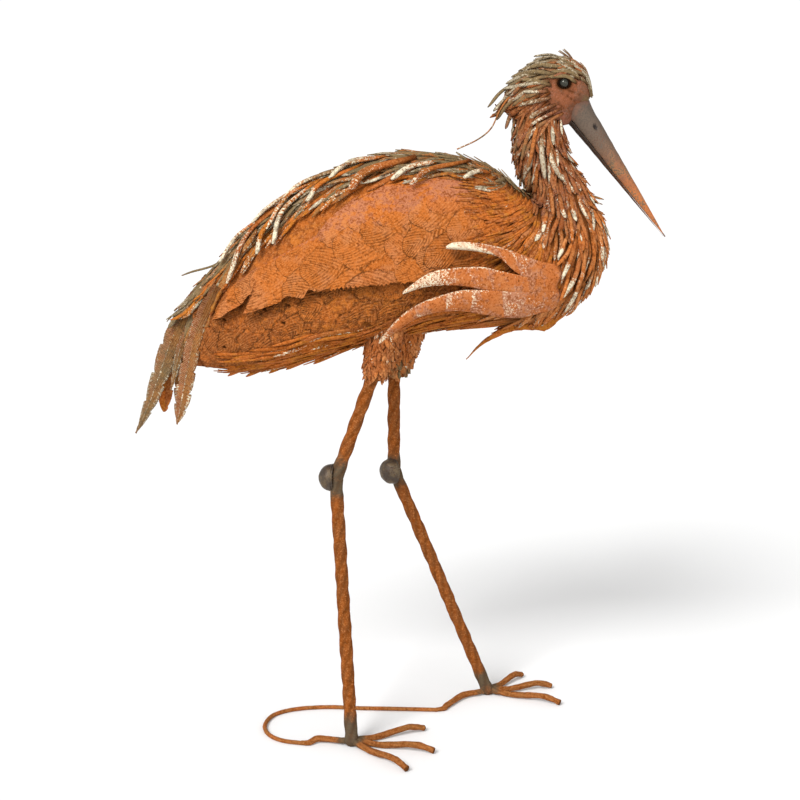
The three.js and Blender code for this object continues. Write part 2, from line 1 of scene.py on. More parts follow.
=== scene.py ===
import bpy
import numpy as np
from bpy.props import FloatProperty, FloatVectorProperty, PointerProperty
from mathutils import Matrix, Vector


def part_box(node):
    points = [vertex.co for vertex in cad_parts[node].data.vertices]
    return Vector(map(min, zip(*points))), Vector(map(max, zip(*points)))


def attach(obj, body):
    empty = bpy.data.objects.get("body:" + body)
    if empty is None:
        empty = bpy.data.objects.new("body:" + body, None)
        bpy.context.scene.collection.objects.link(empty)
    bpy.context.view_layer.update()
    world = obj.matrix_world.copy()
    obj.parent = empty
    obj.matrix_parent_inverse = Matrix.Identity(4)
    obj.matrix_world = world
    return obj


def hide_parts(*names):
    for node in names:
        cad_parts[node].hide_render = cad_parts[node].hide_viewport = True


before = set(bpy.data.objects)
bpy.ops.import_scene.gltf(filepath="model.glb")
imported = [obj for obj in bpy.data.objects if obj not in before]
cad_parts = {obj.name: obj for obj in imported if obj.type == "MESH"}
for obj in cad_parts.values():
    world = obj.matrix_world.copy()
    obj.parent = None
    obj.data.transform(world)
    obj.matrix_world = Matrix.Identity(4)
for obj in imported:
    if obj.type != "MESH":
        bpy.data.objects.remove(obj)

bl_info = {
    "name": "Rusted Iron Stork",
    "version": (1, 0, 0),
    "blender": (4, 5, 0),
    "location": "3D View > Sidebar > Iron Stork",
    "description": "Builds the feathered iron body, legs, feet and stage of a garden stork",
    "category": "Add Mesh",
}

MM = 0.001
TAU = 2 * np.pi
SIDES = {"right": -1, "left": 1}


def middle(node):
    """The middle of a CAD node's box, in metres."""
    low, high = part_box(node)
    return (np.array(low) + np.array(high)) / 2


# Where the bird's own axes stand in the CAD frame: the middle of its two eyes, less their own place
EYE_AT = (217.5, 27.5, 907.0)
ORIGIN = (middle("eye_right") + middle("eye_left")) / 2 - np.array([EYE_AT[0], 0, EYE_AT[2]]) * MM
ORIGIN[2] = 0.0
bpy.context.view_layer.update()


# Lines and surfaces


def spline(points, at):
    """A smooth line through points, at 0 for the first to 1 for the last.

    Each stretch is the cubic whose slope at a point is half the step between that point's two
    neighbours. Past either end the line goes straight on.
    """
    points = np.asarray(points, float)
    if points.ndim == 1:
        return spline(points[:, None], at)[..., 0]
    count = len(points) - 1
    place = np.asarray(at, float) * count
    held = np.clip(place, 0, count)
    first = np.minimum(held.astype(int), count - 1)
    f = (held - first)[..., None]
    ends = (2 * points[:1] - points[1:2], points, 2 * points[-1:] - points[-2:-1])
    padded = np.concatenate(ends)
    a, b, c, d = (padded[first + k] for k in range(4))
    cubic = b + 0.5 * f * (c - a + f * (2 * a - 5 * b + 4 * c - d + f * (3 * b - a - 3 * c + d)))
    beyond = (place - held)[..., None]
    outwards = np.where(beyond < 0, points[1] - points[0], points[-1] - points[-2])
    return cubic + beyond * outwards


def unit(vectors):
    """Vectors made one unit long."""
    vectors = np.asarray(vectors, float)
    return vectors / np.maximum(np.linalg.norm(vectors, axis=-1, keepdims=True), 1e-9)


def ease(value, low, high):
    """0 below low, 1 above high, and the smooth cubic step 3t^2 - 2t^3 between."""
    t = np.clip((np.asarray(value, float) - low) / (high - low), 0, 1)
    return t * t * (3 - 2 * t)


# Stations of the body from the tail end to the top of the neck: [x, z] on the back line, [x, z] on
# the belly, breast and throat line, and half the width across
BACK_LINE = [
    (-281, 628), (-214, 699), (-126, 770), (-27, 809), (71, 811), (127, 792), (160, 768), (180, 752),
    (177, 764), (166, 788), (158, 822), (155, 874),
]
FRONT_LINE = [
    (-284, 524), (-218, 519), (-128, 534), (-28, 565), (72, 580), (140, 583), (214, 600), (266, 647),
    (277, 705), (256, 761), (227, 809), (216, 864),
]
HALF_WIDTH = [36, 66, 92, 102, 94, 84, 74, 62, 50, 38, 29, 23]
STATIONS = len(BACK_LINE) - 1
RIDGE = 0.16
FULLNESS = 0.05


def body(s, a):
    """The skin of body and neck: s counts stations, a is 0 on the back line and pi on the belly.

    A section is an ellipse between the back line and the front line. Its width is the half width
    times sin a plus a twentieth of sin 3a, and is narrower above by a sixth of cos a.
    """
    s, a = np.broadcast_arrays(np.asarray(s, float), np.asarray(a, float))
    top = spline(BACK_LINE, s / STATIONS)
    low = spline(FRONT_LINE, s / STATIONS)
    half = np.maximum(spline(HALF_WIDTH, s / STATIONS), 4)
    rise = np.cos(a)[..., None]
    side = (np.sin(a) + FULLNESS * np.sin(3 * a)) * (1 - RIDGE * np.cos(a)) / (1 - FULLNESS)
    flat = (top + low) / 2 + rise * (top - low) / 2
    return np.stack([flat[..., 0], half * side, flat[..., 1]], axis=-1)


HEAD_TOP = [(143, 888), (156, 914), (184, 933), (213, 942), (242, 932), (257, 907)]
HEAD_LOW = [(150, 868), (165, 857), (190, 852), (214, 851), (237, 858), (253, 880)]
HEAD_HALF = [7, 20, 28, 30, 25, 13]


def head(t, a):
    """The skin of the head: t runs from the nape, 0, to the forehead, 1, and a is 0 on the crown.

    A section is an ellipse between the crown line and the throat line.
    """
    t, a = np.broadcast_arrays(np.asarray(t, float), np.asarray(a, float))
    top = spline(HEAD_TOP, t)
    low = spline(HEAD_LOW, t)
    half = np.maximum(spline(HEAD_HALF, t), 3)
    rise = np.cos(a)[..., None]
    flat = (top + low) / 2 + rise * (top - low) / 2
    return np.stack([flat[..., 0], half * np.sin(a), flat[..., 1]], axis=-1)


def slopes(surface, u, v, step=0.01):
    """A surface's two slopes and its outward normal, from points a small step either side."""
    along = (surface(u + step, v) - surface(u - step, v)) / (2 * step)
    around = (surface(u, v + step) - surface(u, v - step)) / (2 * step)
    return along, around, unit(np.cross(along, around))


def raised(surface, u, v, lift):
    """Points at a height over a surface, and the surface's normals there."""
    normal = slopes(surface, u, v)[2]
    return surface(u, v) + normal * np.asarray(lift, float)[..., None], normal


def bell(value, width):
    """1 at 0, falling off either side as exp(-(value / width)^2)."""
    return np.exp(-((value / width) ** 2))


# How often a stretch of stations is halved: the place is found to a millionth of a station
HALVINGS = 24


def station(x, z, top_line, low_line, low, high):
    """Where a place in the side view lies between an upper line and a lower line.

    The station is found by halving until the place lies on the stretch from one line to the
    other. Returns it, and the place's share of the way up that stretch.
    """
    x, z = np.broadcast_arrays(np.asarray(x, float), np.asarray(z, float))
    count = len(top_line) - 1
    low, high = np.full(x.shape, float(low)), np.full(x.shape, float(high))
    for _ in range(HALVINGS):
        s = (low + high) / 2
        top, bottom = spline(top_line, s / count), spline(low_line, s / count)
        reach = top - bottom
        dx, dz = x - bottom[..., 0], z - bottom[..., 1]
        ahead = reach[..., 0] * dz - reach[..., 1] * dx < 0
        low, high = np.where(ahead, s, low), np.where(ahead, high, s)
    return low, (dx * reach[..., 0] + dz * reach[..., 1]) / (reach**2).sum(-1)


def flank_place(x, z):
    """The station and angle of the body skin at a place in the side view.

    The angle is the arc cosine of how far up the place is between belly and back.
    """
    s, share = station(x, z, BACK_LINE, FRONT_LINE, -1.0, 9.0)
    return s, np.arccos(np.clip(2 * share - 1, -0.96, 0.96))


def side_reach(x, z):
    """How far out the skin of neck or head is at a place in the side view, whichever is further."""
    reach = np.zeros(np.broadcast(x, z).shape)
    for top_line, low_line, halves, low, high in (
        (BACK_LINE, FRONT_LINE, HALF_WIDTH, 6.0, 11.3),
        (HEAD_TOP, HEAD_LOW, HEAD_HALF, 0.0, 5.0),
    ):
        s, share = station(x, z, top_line, low_line, low, high)
        half = spline(halves, s / (len(halves) - 1))
        up = np.clip(2 * share - 1, -1, 1)
        reach = np.maximum(reach, half * np.sqrt(1 - up**2))
    return reach


def on_flank(x, z, lift, side):
    """Points over the flank at a place in the side view, and the skin's normals there."""
    s, a = flank_place(x, z)
    return raised(body, s, a * side, lift)


# The sine waves in one ripple
WAVES = 7


def ripple(points, size, seed):
    """Smooth lumps from -1 to 1: the mean of sine waves with seeded directions and phases."""
    rng = np.random.default_rng(seed)
    ways = unit(rng.normal(size=(WAVES, 3))) * (TAU / size) * rng.uniform(0.6, 1.5, (WAVES, 1))
    phases = rng.uniform(0, TAU, WAVES)
    return np.sin(points @ ways.T + phases).sum(-1) / np.sqrt(WAVES) * 0.7


# Meshes


def grid_faces(rows, columns, start=0, wrap=False, loop=False):
    """Faces of a grid of points numbered row by row.

    wrap joins the last column to the first, and loop joins the last row to the first.
    """
    r = np.arange(rows if loop else rows - 1)[:, None]
    c = np.arange(columns if wrap else columns - 1)[None]
    here, below, after = r * columns, (r + 1) % rows * columns, (c + 1) % columns
    corners = (here + c, here + after, below + after, below + c)
    return np.stack(np.broadcast_arrays(*corners), -1).reshape(-1, 4) + start


class Piece:
    """Collects points, faces and numbers on points, and puts them into one mesh object."""

    def __init__(self):
        self.points = []
        self.faces = []
        self.marks = {}
        self.count = 0

    def add(self, points, faces, **marks):
        """Adds closed forms, turned so that their faces look outwards."""
        points = np.asarray(points, float).reshape(-1, 3)
        if signed_volume(points, faces) < 0:
            faces = [f[:, ::-1] for f in faces]
        size = len(points)
        self.faces += [f + self.count for f in faces]
        self.points.append(points)
        for key in {*self.marks, *marks}:
            stored = self.marks.setdefault(key, [np.zeros(self.count)])
            value = np.asarray(marks.get(key, 0.0), float)
            stored.append(value.reshape(-1) if value.ndim else np.full(size, float(value)))
        self.count += size
        return self

    def make(self, name, look, slot, *nodes):
        """The mesh object, in metres in the CAD frame, standing for the named CAD nodes."""
        mesh = bpy.data.meshes.new(name)
        points = np.concatenate(self.points) * MM + ORIGIN
        mesh.vertices.add(len(points))
        mesh.vertices.foreach_set("co", points.astype(np.float32).ravel())
        corners = np.concatenate([f.reshape(-1) for f in self.faces])
        sizes = np.concatenate([np.full(len(f), f.shape[1]) for f in self.faces])
        mesh.loops.add(len(corners))
        mesh.loops.foreach_set("vertex_index", corners.astype(np.int32))
        mesh.polygons.add(len(sizes))
        starts = np.concatenate([[0], np.cumsum(sizes)[:-1]])
        mesh.polygons.foreach_set("loop_start", starts.astype(np.int32))
        mesh.polygons.foreach_set("use_smooth", np.ones(len(sizes), bool))
        for key, values in self.marks.items():
            layer = mesh.attributes.new(key, "FLOAT", "POINT")
            layer.data.foreach_set("value", np.concatenate(values).astype(np.float32))
        mesh.update(calc_edges=True)
        if mesh.validate():
            raise RuntimeError(f"{name} has faulty faces")
        made = bpy.data.objects.new(name, mesh)
        bpy.context.scene.collection.objects.link(made)
        mesh.materials.append(finish(look))
        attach(made, "root")
        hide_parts(*nodes)


def signed_volume(points, faces):
    """Six times the volume inside closed faces, fanned into triangles from their first corners."""
    total = 0.0
    for f in faces:
        for k in range(1, f.shape[1] - 1):
            a, b, c = points[f[:, 0]], points[f[:, k]], points[f[:, k + 1]]
            total += np.einsum("ij,ij->", a - points[0], np.cross(b - points[0], c - points[0]))
    return total


def pole_faces(rows, columns):
    """Faces of rings of points, closed at both ends by fans to two more points at the end."""
    k = np.arange(columns)
    after = (k + 1) % columns
    near, far = rows * columns, rows * columns + 1
    base = (rows - 1) * columns
    first = np.stack([np.full(columns, near), after, k], -1)
    last = np.stack([np.full(columns, far), base + k, base + after], -1)
    return [grid_faces(rows, columns, wrap=True), first, last]


def capped(points, **marks):
    """A piece of rings of points, closed at both ends by fans to the middle of the end ring."""
    rows, columns = points.shape[:2]
    ends = [points[0].mean(0), points[-1].mean(0)]
    for key, value in marks.items():
        if np.size(value) == rows * columns:
            marks[key] = np.append(value, (0, 0))
    return Piece().add(np.concatenate([points.reshape(-1, 3), ends]), pole_faces(rows, columns), **marks)


def rings(first, last, rows, columns):
    """Two grids: a number that goes from first to last row by row, and the angle once round."""
    around = np.linspace(0, TAU, columns, endpoint=False)
    return np.meshgrid(np.linspace(first, last, rows), around, indexing="ij")


def sheet(outer, inner):
    """Points and faces of a sheet between two grids of points with as many rows.

    The grids may differ in columns. The two long edges are closed row by row, and the two ends
    by one face each.
    """
    rows, columns = outer.shape[:2]
    backs = inner.shape[1]
    start = rows * columns
    front = np.arange(rows - 1) * columns
    back = start + np.arange(rows - 1) * backs
    near = (front, front + columns, back + backs, back)
    far = (front + columns - 1, back + backs - 1, back + 2 * backs - 1, front + 2 * columns - 1)
    first = (np.arange(columns)[::-1], start + np.arange(backs))
    last = (start - columns + np.arange(columns), start + rows * backs - 1 - np.arange(backs))
    faces = [
        grid_faces(rows, columns),
        grid_faces(rows, backs, start)[:, ::-1],
        np.stack(near, -1),
        np.stack(far, -1),
        np.concatenate(first)[None],
        np.concatenate(last)[None],
    ]
    return np.concatenate([outer.reshape(-1, 3), inner.reshape(-1, 3)]), faces


# Strips: narrow feathers cut from sheet and hammered hollow

STRIP_ROWS = 8
STRIP_RING = np.array([-1.0, -0.6, 0.0, 0.6, 1.0, 0.45, -0.45])
STRIP_EDGES = np.abs(STRIP_RING) >= 1
STRIP_CROWN = np.array([0.0, 0.64, 1.0, 0.64, 0.0, 0.55, 0.55])
STRIP_SKIN = np.array([0.0, 0.5, 0.5, 0.5, 0.0, -0.5, -0.5])
SHEET = 1.2

# Shares along a strip that is placed by itself
SINGLE = np.linspace(0, 1, 15)


def strip_points(centre, normal, width, arch, thick, blunt):
    """Rings of seven points round each of many centre lines, and how far along its strip each is.

    The half width grows from 0.7 to full by a quarter of the length, holds, and closes over the
    last part as the root of 1 - u^2, down to a blunt share. The ring is a shallow arch: its height
    is a share of the half width, and its wall stands either side of that height.
    """
    along = unit(np.gradient(centre, axis=1))
    side = unit(np.cross(normal, along))
    up = unit(np.cross(along, side))
    t = np.linspace(0, 1, centre.shape[1])[None]
    closing = np.clip((t - 0.62) / 0.38, 0, 1)
    tip = blunt[:, None] + (1 - blunt[:, None]) * np.sqrt(np.maximum(1 - closing**2, 0))
    half = width[:, None] / 2 * (0.7 + 0.3 * ease(t, 0, 0.25)) * tip * np.where(closing >= 1, 0.75, 1)
    across = half[..., None] * STRIP_RING
    height = half[..., None] * arch * (STRIP_CROWN - 0.6) + thick * STRIP_SKIN
    points = centre[:, :, None] + side[:, :, None] * across[..., None] + up[:, :, None] * height[..., None]
    return points, np.broadcast_to(t[..., None], across.shape)


def strip_faces(count, rows):
    """Faces of many strips: rings of seven joined along, with three faces over each end."""
    ring = len(STRIP_RING)
    one = [grid_faces(rows, ring, wrap=True)]
    end = (rows - 1) * ring
    caps = np.array([[0, 6, 2, 1], [2, 5, 4, 3]])
    one += [caps, caps[:, ::-1] + end]
    block = np.concatenate(one)
    wedge = np.array([[2, 6, 5]])
    wedges = np.concatenate([wedge, wedge[:, ::-1] + end])
    shift = (np.arange(count) * rows * ring)[:, None, None]
    return [(block[None] + shift).reshape(-1, 4), (wedges[None] + shift).reshape(-1, 3)]


# The lie of the feathers in the side view: a place [x, z] and the way its feathers point
LIE = np.array([
    (160, 886, -0.5, -0.85), (194, 886, -0.25, -1), (221, 857, 0.1, -1), (160, 847, -0.15, -1),
    (194, 820, 0.05, -1), (217, 820, 0.35, -0.9), (241, 791, 0.55, -0.85), (167, 780, 0.05, -1),
    (198, 780, 0.12, -1), (237, 760, 0.35, -0.95), (262, 740, 0.4, -0.9), (187, 733, -0.25, -0.95),
    (163, 733, -0.9, -0.45), (134, 747, -1, -0.1), (107, 767, -1, 0.1), (74, 783, -1, 0.05),
    (134, 703, -0.95, -0.3), (160, 690, -0.65, -0.75), (194, 687, -0.3, -0.95), (230, 700, 0.08, -1),
    (263, 700, 0.15, -1), (271, 667, -0.25, -0.97), (237, 654, -0.3, -0.95), (250, 624, -0.6, -0.8),
    (214, 604, -0.85, -0.5), (147, 597, -1, -0.1), (67, 587, -1, -0.1), (-67, 554, -1, -0.15),
    (-200, 534, -1, -0.1), (-267, 540, -1, 0.05), (67, 809, -1, 0), (0, 817, -1, -0.05),
    (-80, 807, -0.95, -0.3), (-147, 773, -0.8, -0.6), (-214, 713, -0.75, -0.65),
    (-267, 647, -0.6, -0.8), (40, 791, -0.95, -0.3), (-27, 791, -0.9, -0.45), (-107, 767, -0.78, -0.62),
    (-154, 733, -0.65, -0.78), (-200, 674, -0.5, -0.87), (-134, 620, -0.9, -0.4), (0, 620, -0.9, -0.4),
    (94, 647, -1, -0.2),
])


def brushed(paint, *steps):
    """Paint along a strip as a function of the share: parts of it, each eased in from low to high."""
    return lambda share: paint * sum(part * ease(share, low, high) for part, low, high in steps)


def shaded_root(strength, reach):
    """Painted shade along a strip, where others lie over its root: full at the root and gone at a
    share of the way.
    """
    return lambda share: strength * (1 - ease(share, 0, reach))


def combed(rng, surface, s, a, length, root, tips, turns, widths, **how):
    """Centre lines, normals and widths of strips, with chance in their lift, turn and width."""
    sizes = bpy.context.scene.stork_sizes
    count = len(s)
    lift = (root, rng.uniform(*tips, count))
    turn = rng.normal(0, turns, count)
    lines, normals = traced(surface, s, a, length * sizes.strip_length, turn, lift, **how)
    return lines, normals, rng.uniform(*widths, count) * sizes.strip_width


def some(rng, count, chance, low, high=None):
    """Paint for some of many strips: each gets it with a chance, an amount from low to high."""
    lucky = rng.uniform(0, 1, count) < chance
    return np.where(lucky, low if high is None else rng.uniform(low, high, count), 0.0)


def strip(piece, centre, normal, width, arch, thick, blunt, **marks):
    """Adds one strip along a centre line. A mark is a number or a function of the share along it."""
    normal = np.broadcast_to(normal, centre.shape)[None]
    shape = (np.array([float(width)]), arch, thick, np.array([float(blunt)]))
    points, share = strip_points(centre[None], normal, *shape)
    marks = {key: value(share) if callable(value) else value for key, value in marks.items()}
    piece.add(points, strip_faces(1, len(centre)), **marks)


def lie(points, table=LIE):
    """The way that feathers point at places: the table's ways, weighed by distance^-4."""
    apart = (points[..., None, 0] - table[:, 0]) ** 2 + (points[..., None, 2] - table[:, 1]) ** 2
    return unit((1 / (apart + 120.0) ** 2) @ table[:, 2:])


def traced(surface, s, a, length, turn, lift, table=LIE, rows=STRIP_ROWS, hold=0.3):
    """Centre lines over a surface that follow the lie of the feathers, and the normals along them.

    From each root the line steps the same distance again and again: the way in the side view is
    turned by the strip's own small angle, tipped into the surface, and solved for the steps in s
    and a. lift is a pair of heights at root and tip, joined by the share^1.5.
    """
    step = length / (rows - 1)
    tracks, normals = [], []
    cosine, sine = np.cos(turn), np.sin(turn)
    for _ in range(rows):
        place = surface(s, a)
        along, around, normal = slopes(surface, s, a)
        tracks.append(place)
        normals.append(normal)
        way = lie(place, table)
        dx = way[:, 0] * cosine - way[:, 1] * sine
        dz = way[:, 0] * sine + way[:, 1] * cosine
        facing = np.where(normal[:, 1] < 0, -1, 1) * np.maximum(np.abs(normal[:, 1]), hold)
        dy = -(dx * normal[:, 0] + dz * normal[:, 2]) / facing
        heading = np.stack([dx, dy, dz], -1)
        heading = unit(heading - (heading * normal).sum(-1, keepdims=True) * normal)
        aa, bb, ab = (along**2).sum(-1), (around**2).sum(-1), (along * around).sum(-1)
        ha, hb = (heading * along).sum(-1), (heading * around).sum(-1)
        det = np.maximum(aa * bb - ab**2, 1e-6)
        s = s + step * (ha * bb - hb * ab) / det
        a = a + step * (hb * aa - ha * ab) / det
    tracks, normals = np.stack(tracks, 1), np.stack(normals, 1)
    t = np.linspace(0, 1, rows)[None] ** 1.5
    height = lift[0] * (1 - t) + lift[1][:, None] * t
    return tracks + normals * height[..., None], normals


def run_along(points):
    """The length of a line of points up to each of them."""
    return np.append(0, np.cumsum(np.linalg.norm(np.diff(points, axis=0), axis=1)))


def scatter(surface, s_range, a_range, along, across, rng, jitter=0.3):
    """Roots in staggered rows on a surface, set out by measured length along and across."""
    s_line = np.linspace(*s_range, 200)
    a_line = np.linspace(*a_range, 120)
    run = run_along(surface(s_line, np.full(200, np.mean(a_range))))
    rows = max(2, int(run[-1] / along))
    found_s, found_a = [], []
    for r in range(rows):
        s = np.interp((r + 0.5) * run[-1] / rows, run, s_line)
        arc = run_along(surface(np.full(120, s), a_line))
        count = max(2, int(arc[-1] / across))
        spots = (np.arange(count) + 0.25 + 0.5 * (r % 2) + rng.uniform(-jitter, jitter, count)) / count
        found_a.append(np.interp(np.clip(spots, 0, 1) * arc[-1], arc, a_line))
        found_s.append(s + rng.uniform(-jitter, jitter, count) * (s_line[-1] - s_line[0]) / rows)
    return np.concatenate(found_s), np.concatenate(found_a)


def plume(
    piece, tracks, normals, width, rng, paint, arch=0.5, blunt=(0.1, 0.5), rim=0.0, root_shade=0.8, **marks
):
    """Adds strips along centre lines to a piece, with their own tone, paint and place marks.

    Paint is brushed on from a start between a fifth and three fifths of the length and is fullest
    at the tip. rim is the paint left on the two edges of some, which also stands in for the highlight
    that the edges catch. The argument after rim sets the painted shade over the roots, where other
    strips lie over them.
    """
    count = len(tracks)
    points, share = strip_points(tracks, normals, width, arch, SHEET, rng.uniform(*blunt, count))
    marks["tone"] = rng.uniform(0, 1, count)
    start = rng.uniform(0.2, 0.62, count)[:, None, None]
    steps = ((0.35, start - 0.05, start + 0.05), (0.65, start, start + 0.4))
    # Edge paint on some strips: dry-brushed paint that also stands in for the highlight on the edges
    worn = rim * (rng.uniform(0, 1, count) < 0.4)[:, None, None]
    worn = worn * STRIP_EDGES * ease(share, 0.3, 0.7)
    coat = np.maximum(brushed(paint[:, None, None], *steps)(share), worn)
    for key, value in marks.items():
        if np.ndim(value):
            marks[key] = np.broadcast_to(value[:, None, None], share.shape)
    # Painted shade over the roots, where other strips lie over them
    covered = root_shade * (1 - ease(share, 0.05, 0.42))
    piece.add(points, strip_faces(count, tracks.shape[1]), paint=coat, covered=covered, **marks)


def placed(piece, table, side, lifts, rng):
    """Adds single strips over the head and neck from a table in the side view.

    Each row holds three places [x, z], the width, how much paint is on it, from what share of the
    way, and the weathering. The strip stands off the skin by two heights, at root and tip, and
    faces along the skin's slopes, which are taken 3 mm either side.
    """
    for *places, width, paint, start, weather in table:
        x, z = np.array(places, float).T
        out = side_reach(x, z) + np.linspace(*lifts, 3) + rng.uniform(-0.5, 0.8)
        tilt_x = (side_reach(x + 3, z) - side_reach(x - 3, z)) / 6
        tilt_z = (side_reach(x, z + 3) - side_reach(x, z - 3)) / 6
        lean_x, lean_z = (np.clip(-tilt, -1.5, 1.5) for tilt in (tilt_x, tilt_z))
        facing = unit(np.stack([lean_x, side + 0 * x, lean_z], -1))
        blunt = rng.uniform(0.1, 0.45)
        on = brushed(paint, (0.5, start - 0.05, start + 0.05), (0.5, start, start + 0.5))
        # Edge paint: dry-brushed paint that also stands in for the highlight on the edges
        rim = brushed(0.45 * (paint > 0.2) * STRIP_EDGES, (1, 0.1, 0.4))
        centre = spline(np.stack([x, side * out, z], -1), SINGLE)
        strip(
            piece, centre, unit(spline(facing, SINGLE)), width, 0.55, SHEET, blunt, tone=rng.uniform(0, 1),
            paint=lambda share: np.maximum(on(share), rim(share)), shade=weather, covered=shaded_root(0.7, 0.22),
        )


# Lapped feathers: relief hammered into a sheet


def lapped(x, z, roots, ways, sizes, pitch, seed):
    """Relief of feathers that lap over each other in a sheet, in the side view.

    With l the share along a feather and w the share across, its outline is where |w| meets
    sin(pi l^1.15)^0.55, shaken by smooth noise. Its height rises with l^2, is crowned by 1 - w^2,
    and has a shaft. Barbs fan out from the shaft and bend back, the more so towards the tip. A later
    feather lies over an earlier one, and here and there a slit shows beside a tip, painted dark as
    the shadow in it. Returns height, the count of barbs from the root, the painted shadow round each
    outline, a tone and a strength.
    """
    rng = np.random.default_rng(seed)
    flat = np.stack([x, 0 * x, z], -1)
    shake = 0.09 * ripple(flat, 11, seed + 1)
    bend = 0.15 * ripple(flat, 24, seed + 2)
    height, barb, cut, tone, strong = (np.zeros(x.shape) for _ in range(5))
    for (rx, rz), way, (long, half) in zip(roots, ways, sizes):
        cosine, sine = np.cos(way), np.sin(way)
        l = ((x - rx) * cosine + (z - rz) * sine) / long
        across = (z - rz) * cosine - (x - rx) * sine - 0.12 * half * np.sin(3 * l + rx)
        w = across / half
        held = np.clip(l, 0.001, 0.999)
        room = np.sin(np.pi * held**1.15) ** 0.55
        out = (np.abs(w) + shake - room) * half + np.maximum(l - 0.999, 0) * long
        inside = (out < 0) & (l > 0) & (l < 1)
        firm = 0.75 * rng.uniform(0.0, 1.0) ** 1.5
        partly = ease(w * rng.choice([-1, 1]) + rng.uniform(-0.4, 0.8), 0.0, 0.8)
        # Painted shadow that a feather's edge casts on the feather under it
        rim = firm * partly * bell(out, 0.9) * ease(l, 0.35, 0.65) * ((l > 0) & (l < 1.03))
        edge = np.abs(across)
        rise = 0.2 + 1.1 * held**2 + 0.7 * (1 - np.minimum(w**2, 1)) + 0.45 * bell(edge, 1.2) * (1 - held)
        lean = 0.5 + 1.9 * held**1.3
        wave = (l * long - lean * edge) / pitch + rng.uniform(0, 1) + bend
        height = np.where(inside, rise, height)
        barb = np.where(inside, wave + 40, barb)
        cut = np.where(inside, 0.3 * rim, np.maximum(cut, rim))
        tone = np.where(inside, rng.uniform(0, 1), tone)
        strong = np.where(inside, rng.uniform(0.35, 1.0), strong)
        if rng.uniform() < 0.4:
            corner = rng.choice([-0.7, 0.0, 0.7])
            # Painted shadow in a slit beside the tip
            slit = bell((l - 1.0 + 0.25 * corner**2) * long, 2.2) * bell((w - corner) * half, 1.1)
            cut = np.maximum(cut, slit)
    return height, barb, cut, tone, strong


# Finishes


class Signal:
    """One output socket of a material, on which sums are written as they are in Python."""

    def __init__(self, finish, socket):
        self.finish = finish
        self.socket = socket

    def _sum(self, operation, *values):
        return self.finish.add("Math", {"operation": operation}, dict(enumerate(values)))

    def __add__(self, other):
        return self._sum("ADD", self, other)

    def __radd__(self, other):
        return self._sum("ADD", other, self)

    def __sub__(self, other):
        return self._sum("SUBTRACT", self, other)

    def __rsub__(self, other):
        return self._sum("SUBTRACT", other, self)

    def __mul__(self, other):
        return self._sum("MULTIPLY", self, other)

    def __rmul__(self, other):
        return self._sum("MULTIPLY", other, self)

    def __truediv__(self, other):
        return self._sum("DIVIDE", self, other)

    def __pow__(self, other):
        return self._sum("POWER", self, other)


class Finish:
    """A material being made: a node tree, and one way to add a node to it."""

    def __init__(self, name):
        self.material = bpy.data.materials.new(name)
        self.material.use_nodes = True
        self.tree = self.material.node_tree
        self.tree.nodes.clear()

    def add(self, kind, settings=None, sockets=None, out=0):
        """Adds a node: its kind, its settings, its sockets' values or links, and which output."""
        node = self.tree.nodes.new("ShaderNode" + kind)
        for key, value in (settings or {}).items():
            setattr(node, key, value)
        for key, value in (sockets or {}).items():
            entry = node.inputs[key]
            if isinstance(value, Signal):
                self.tree.links.new(value.socket, entry)
            else:
                entry.default_value = value
        return Signal(self, node.outputs[out]) if node.outputs else None

    def place(self):
        """Object coordinates, in metres."""
        return self.add("TexCoord", out="Object")

    def mark(self, name):
        """A number that the mesh carries on its points."""
        return self.add("Attribute", {"attribute_name": name}, out="Fac")

    def noise(self, where, scale, detail=3.0, rough=0.55):
        """Fractal noise about one half."""
        sockets = {"Vector": where, "Scale": scale, "Detail": detail, "Roughness": rough}
        return self.add("TexNoise", {}, sockets)

    def step(self, value, low, high):
        """0 below low and 1 above high, smooth between."""
        settings = {"interpolation_type": "SMOOTHSTEP", "clamp": True}
        return self.add("MapRange", settings, {0: value, 1: low, 2: high})

    def blend(self, base, *coats):
        """A colour with others laid over it in turn, each by its share."""
        settings = {"data_type": "RGBA", "clamp_factor": True}
        for colour, share in coats:
            pair = [v if isinstance(v, Signal) else (*v, 1) for v in (base, colour)]
            base = self.add("Mix", settings, {0: share, 6: pair[0], 7: pair[1]}, 2)
        return base

    def bump(self, height, distance, strength=1.0, under=None):
        """A bump of a height in units of distance, over another normal."""
        sockets = {"Height": height, "Distance": distance, "Strength": strength}
        if under is not None:
            sockets["Normal"] = under
        return self.add("Bump", {}, sockets, "Normal")

    def shade(self, sockets):
        """Ends the material in one principled shader."""
        shader = self.add("BsdfPrincipled", {}, sockets)
        self.add("OutputMaterial", {}, {"Surface": shader})
        return self.material


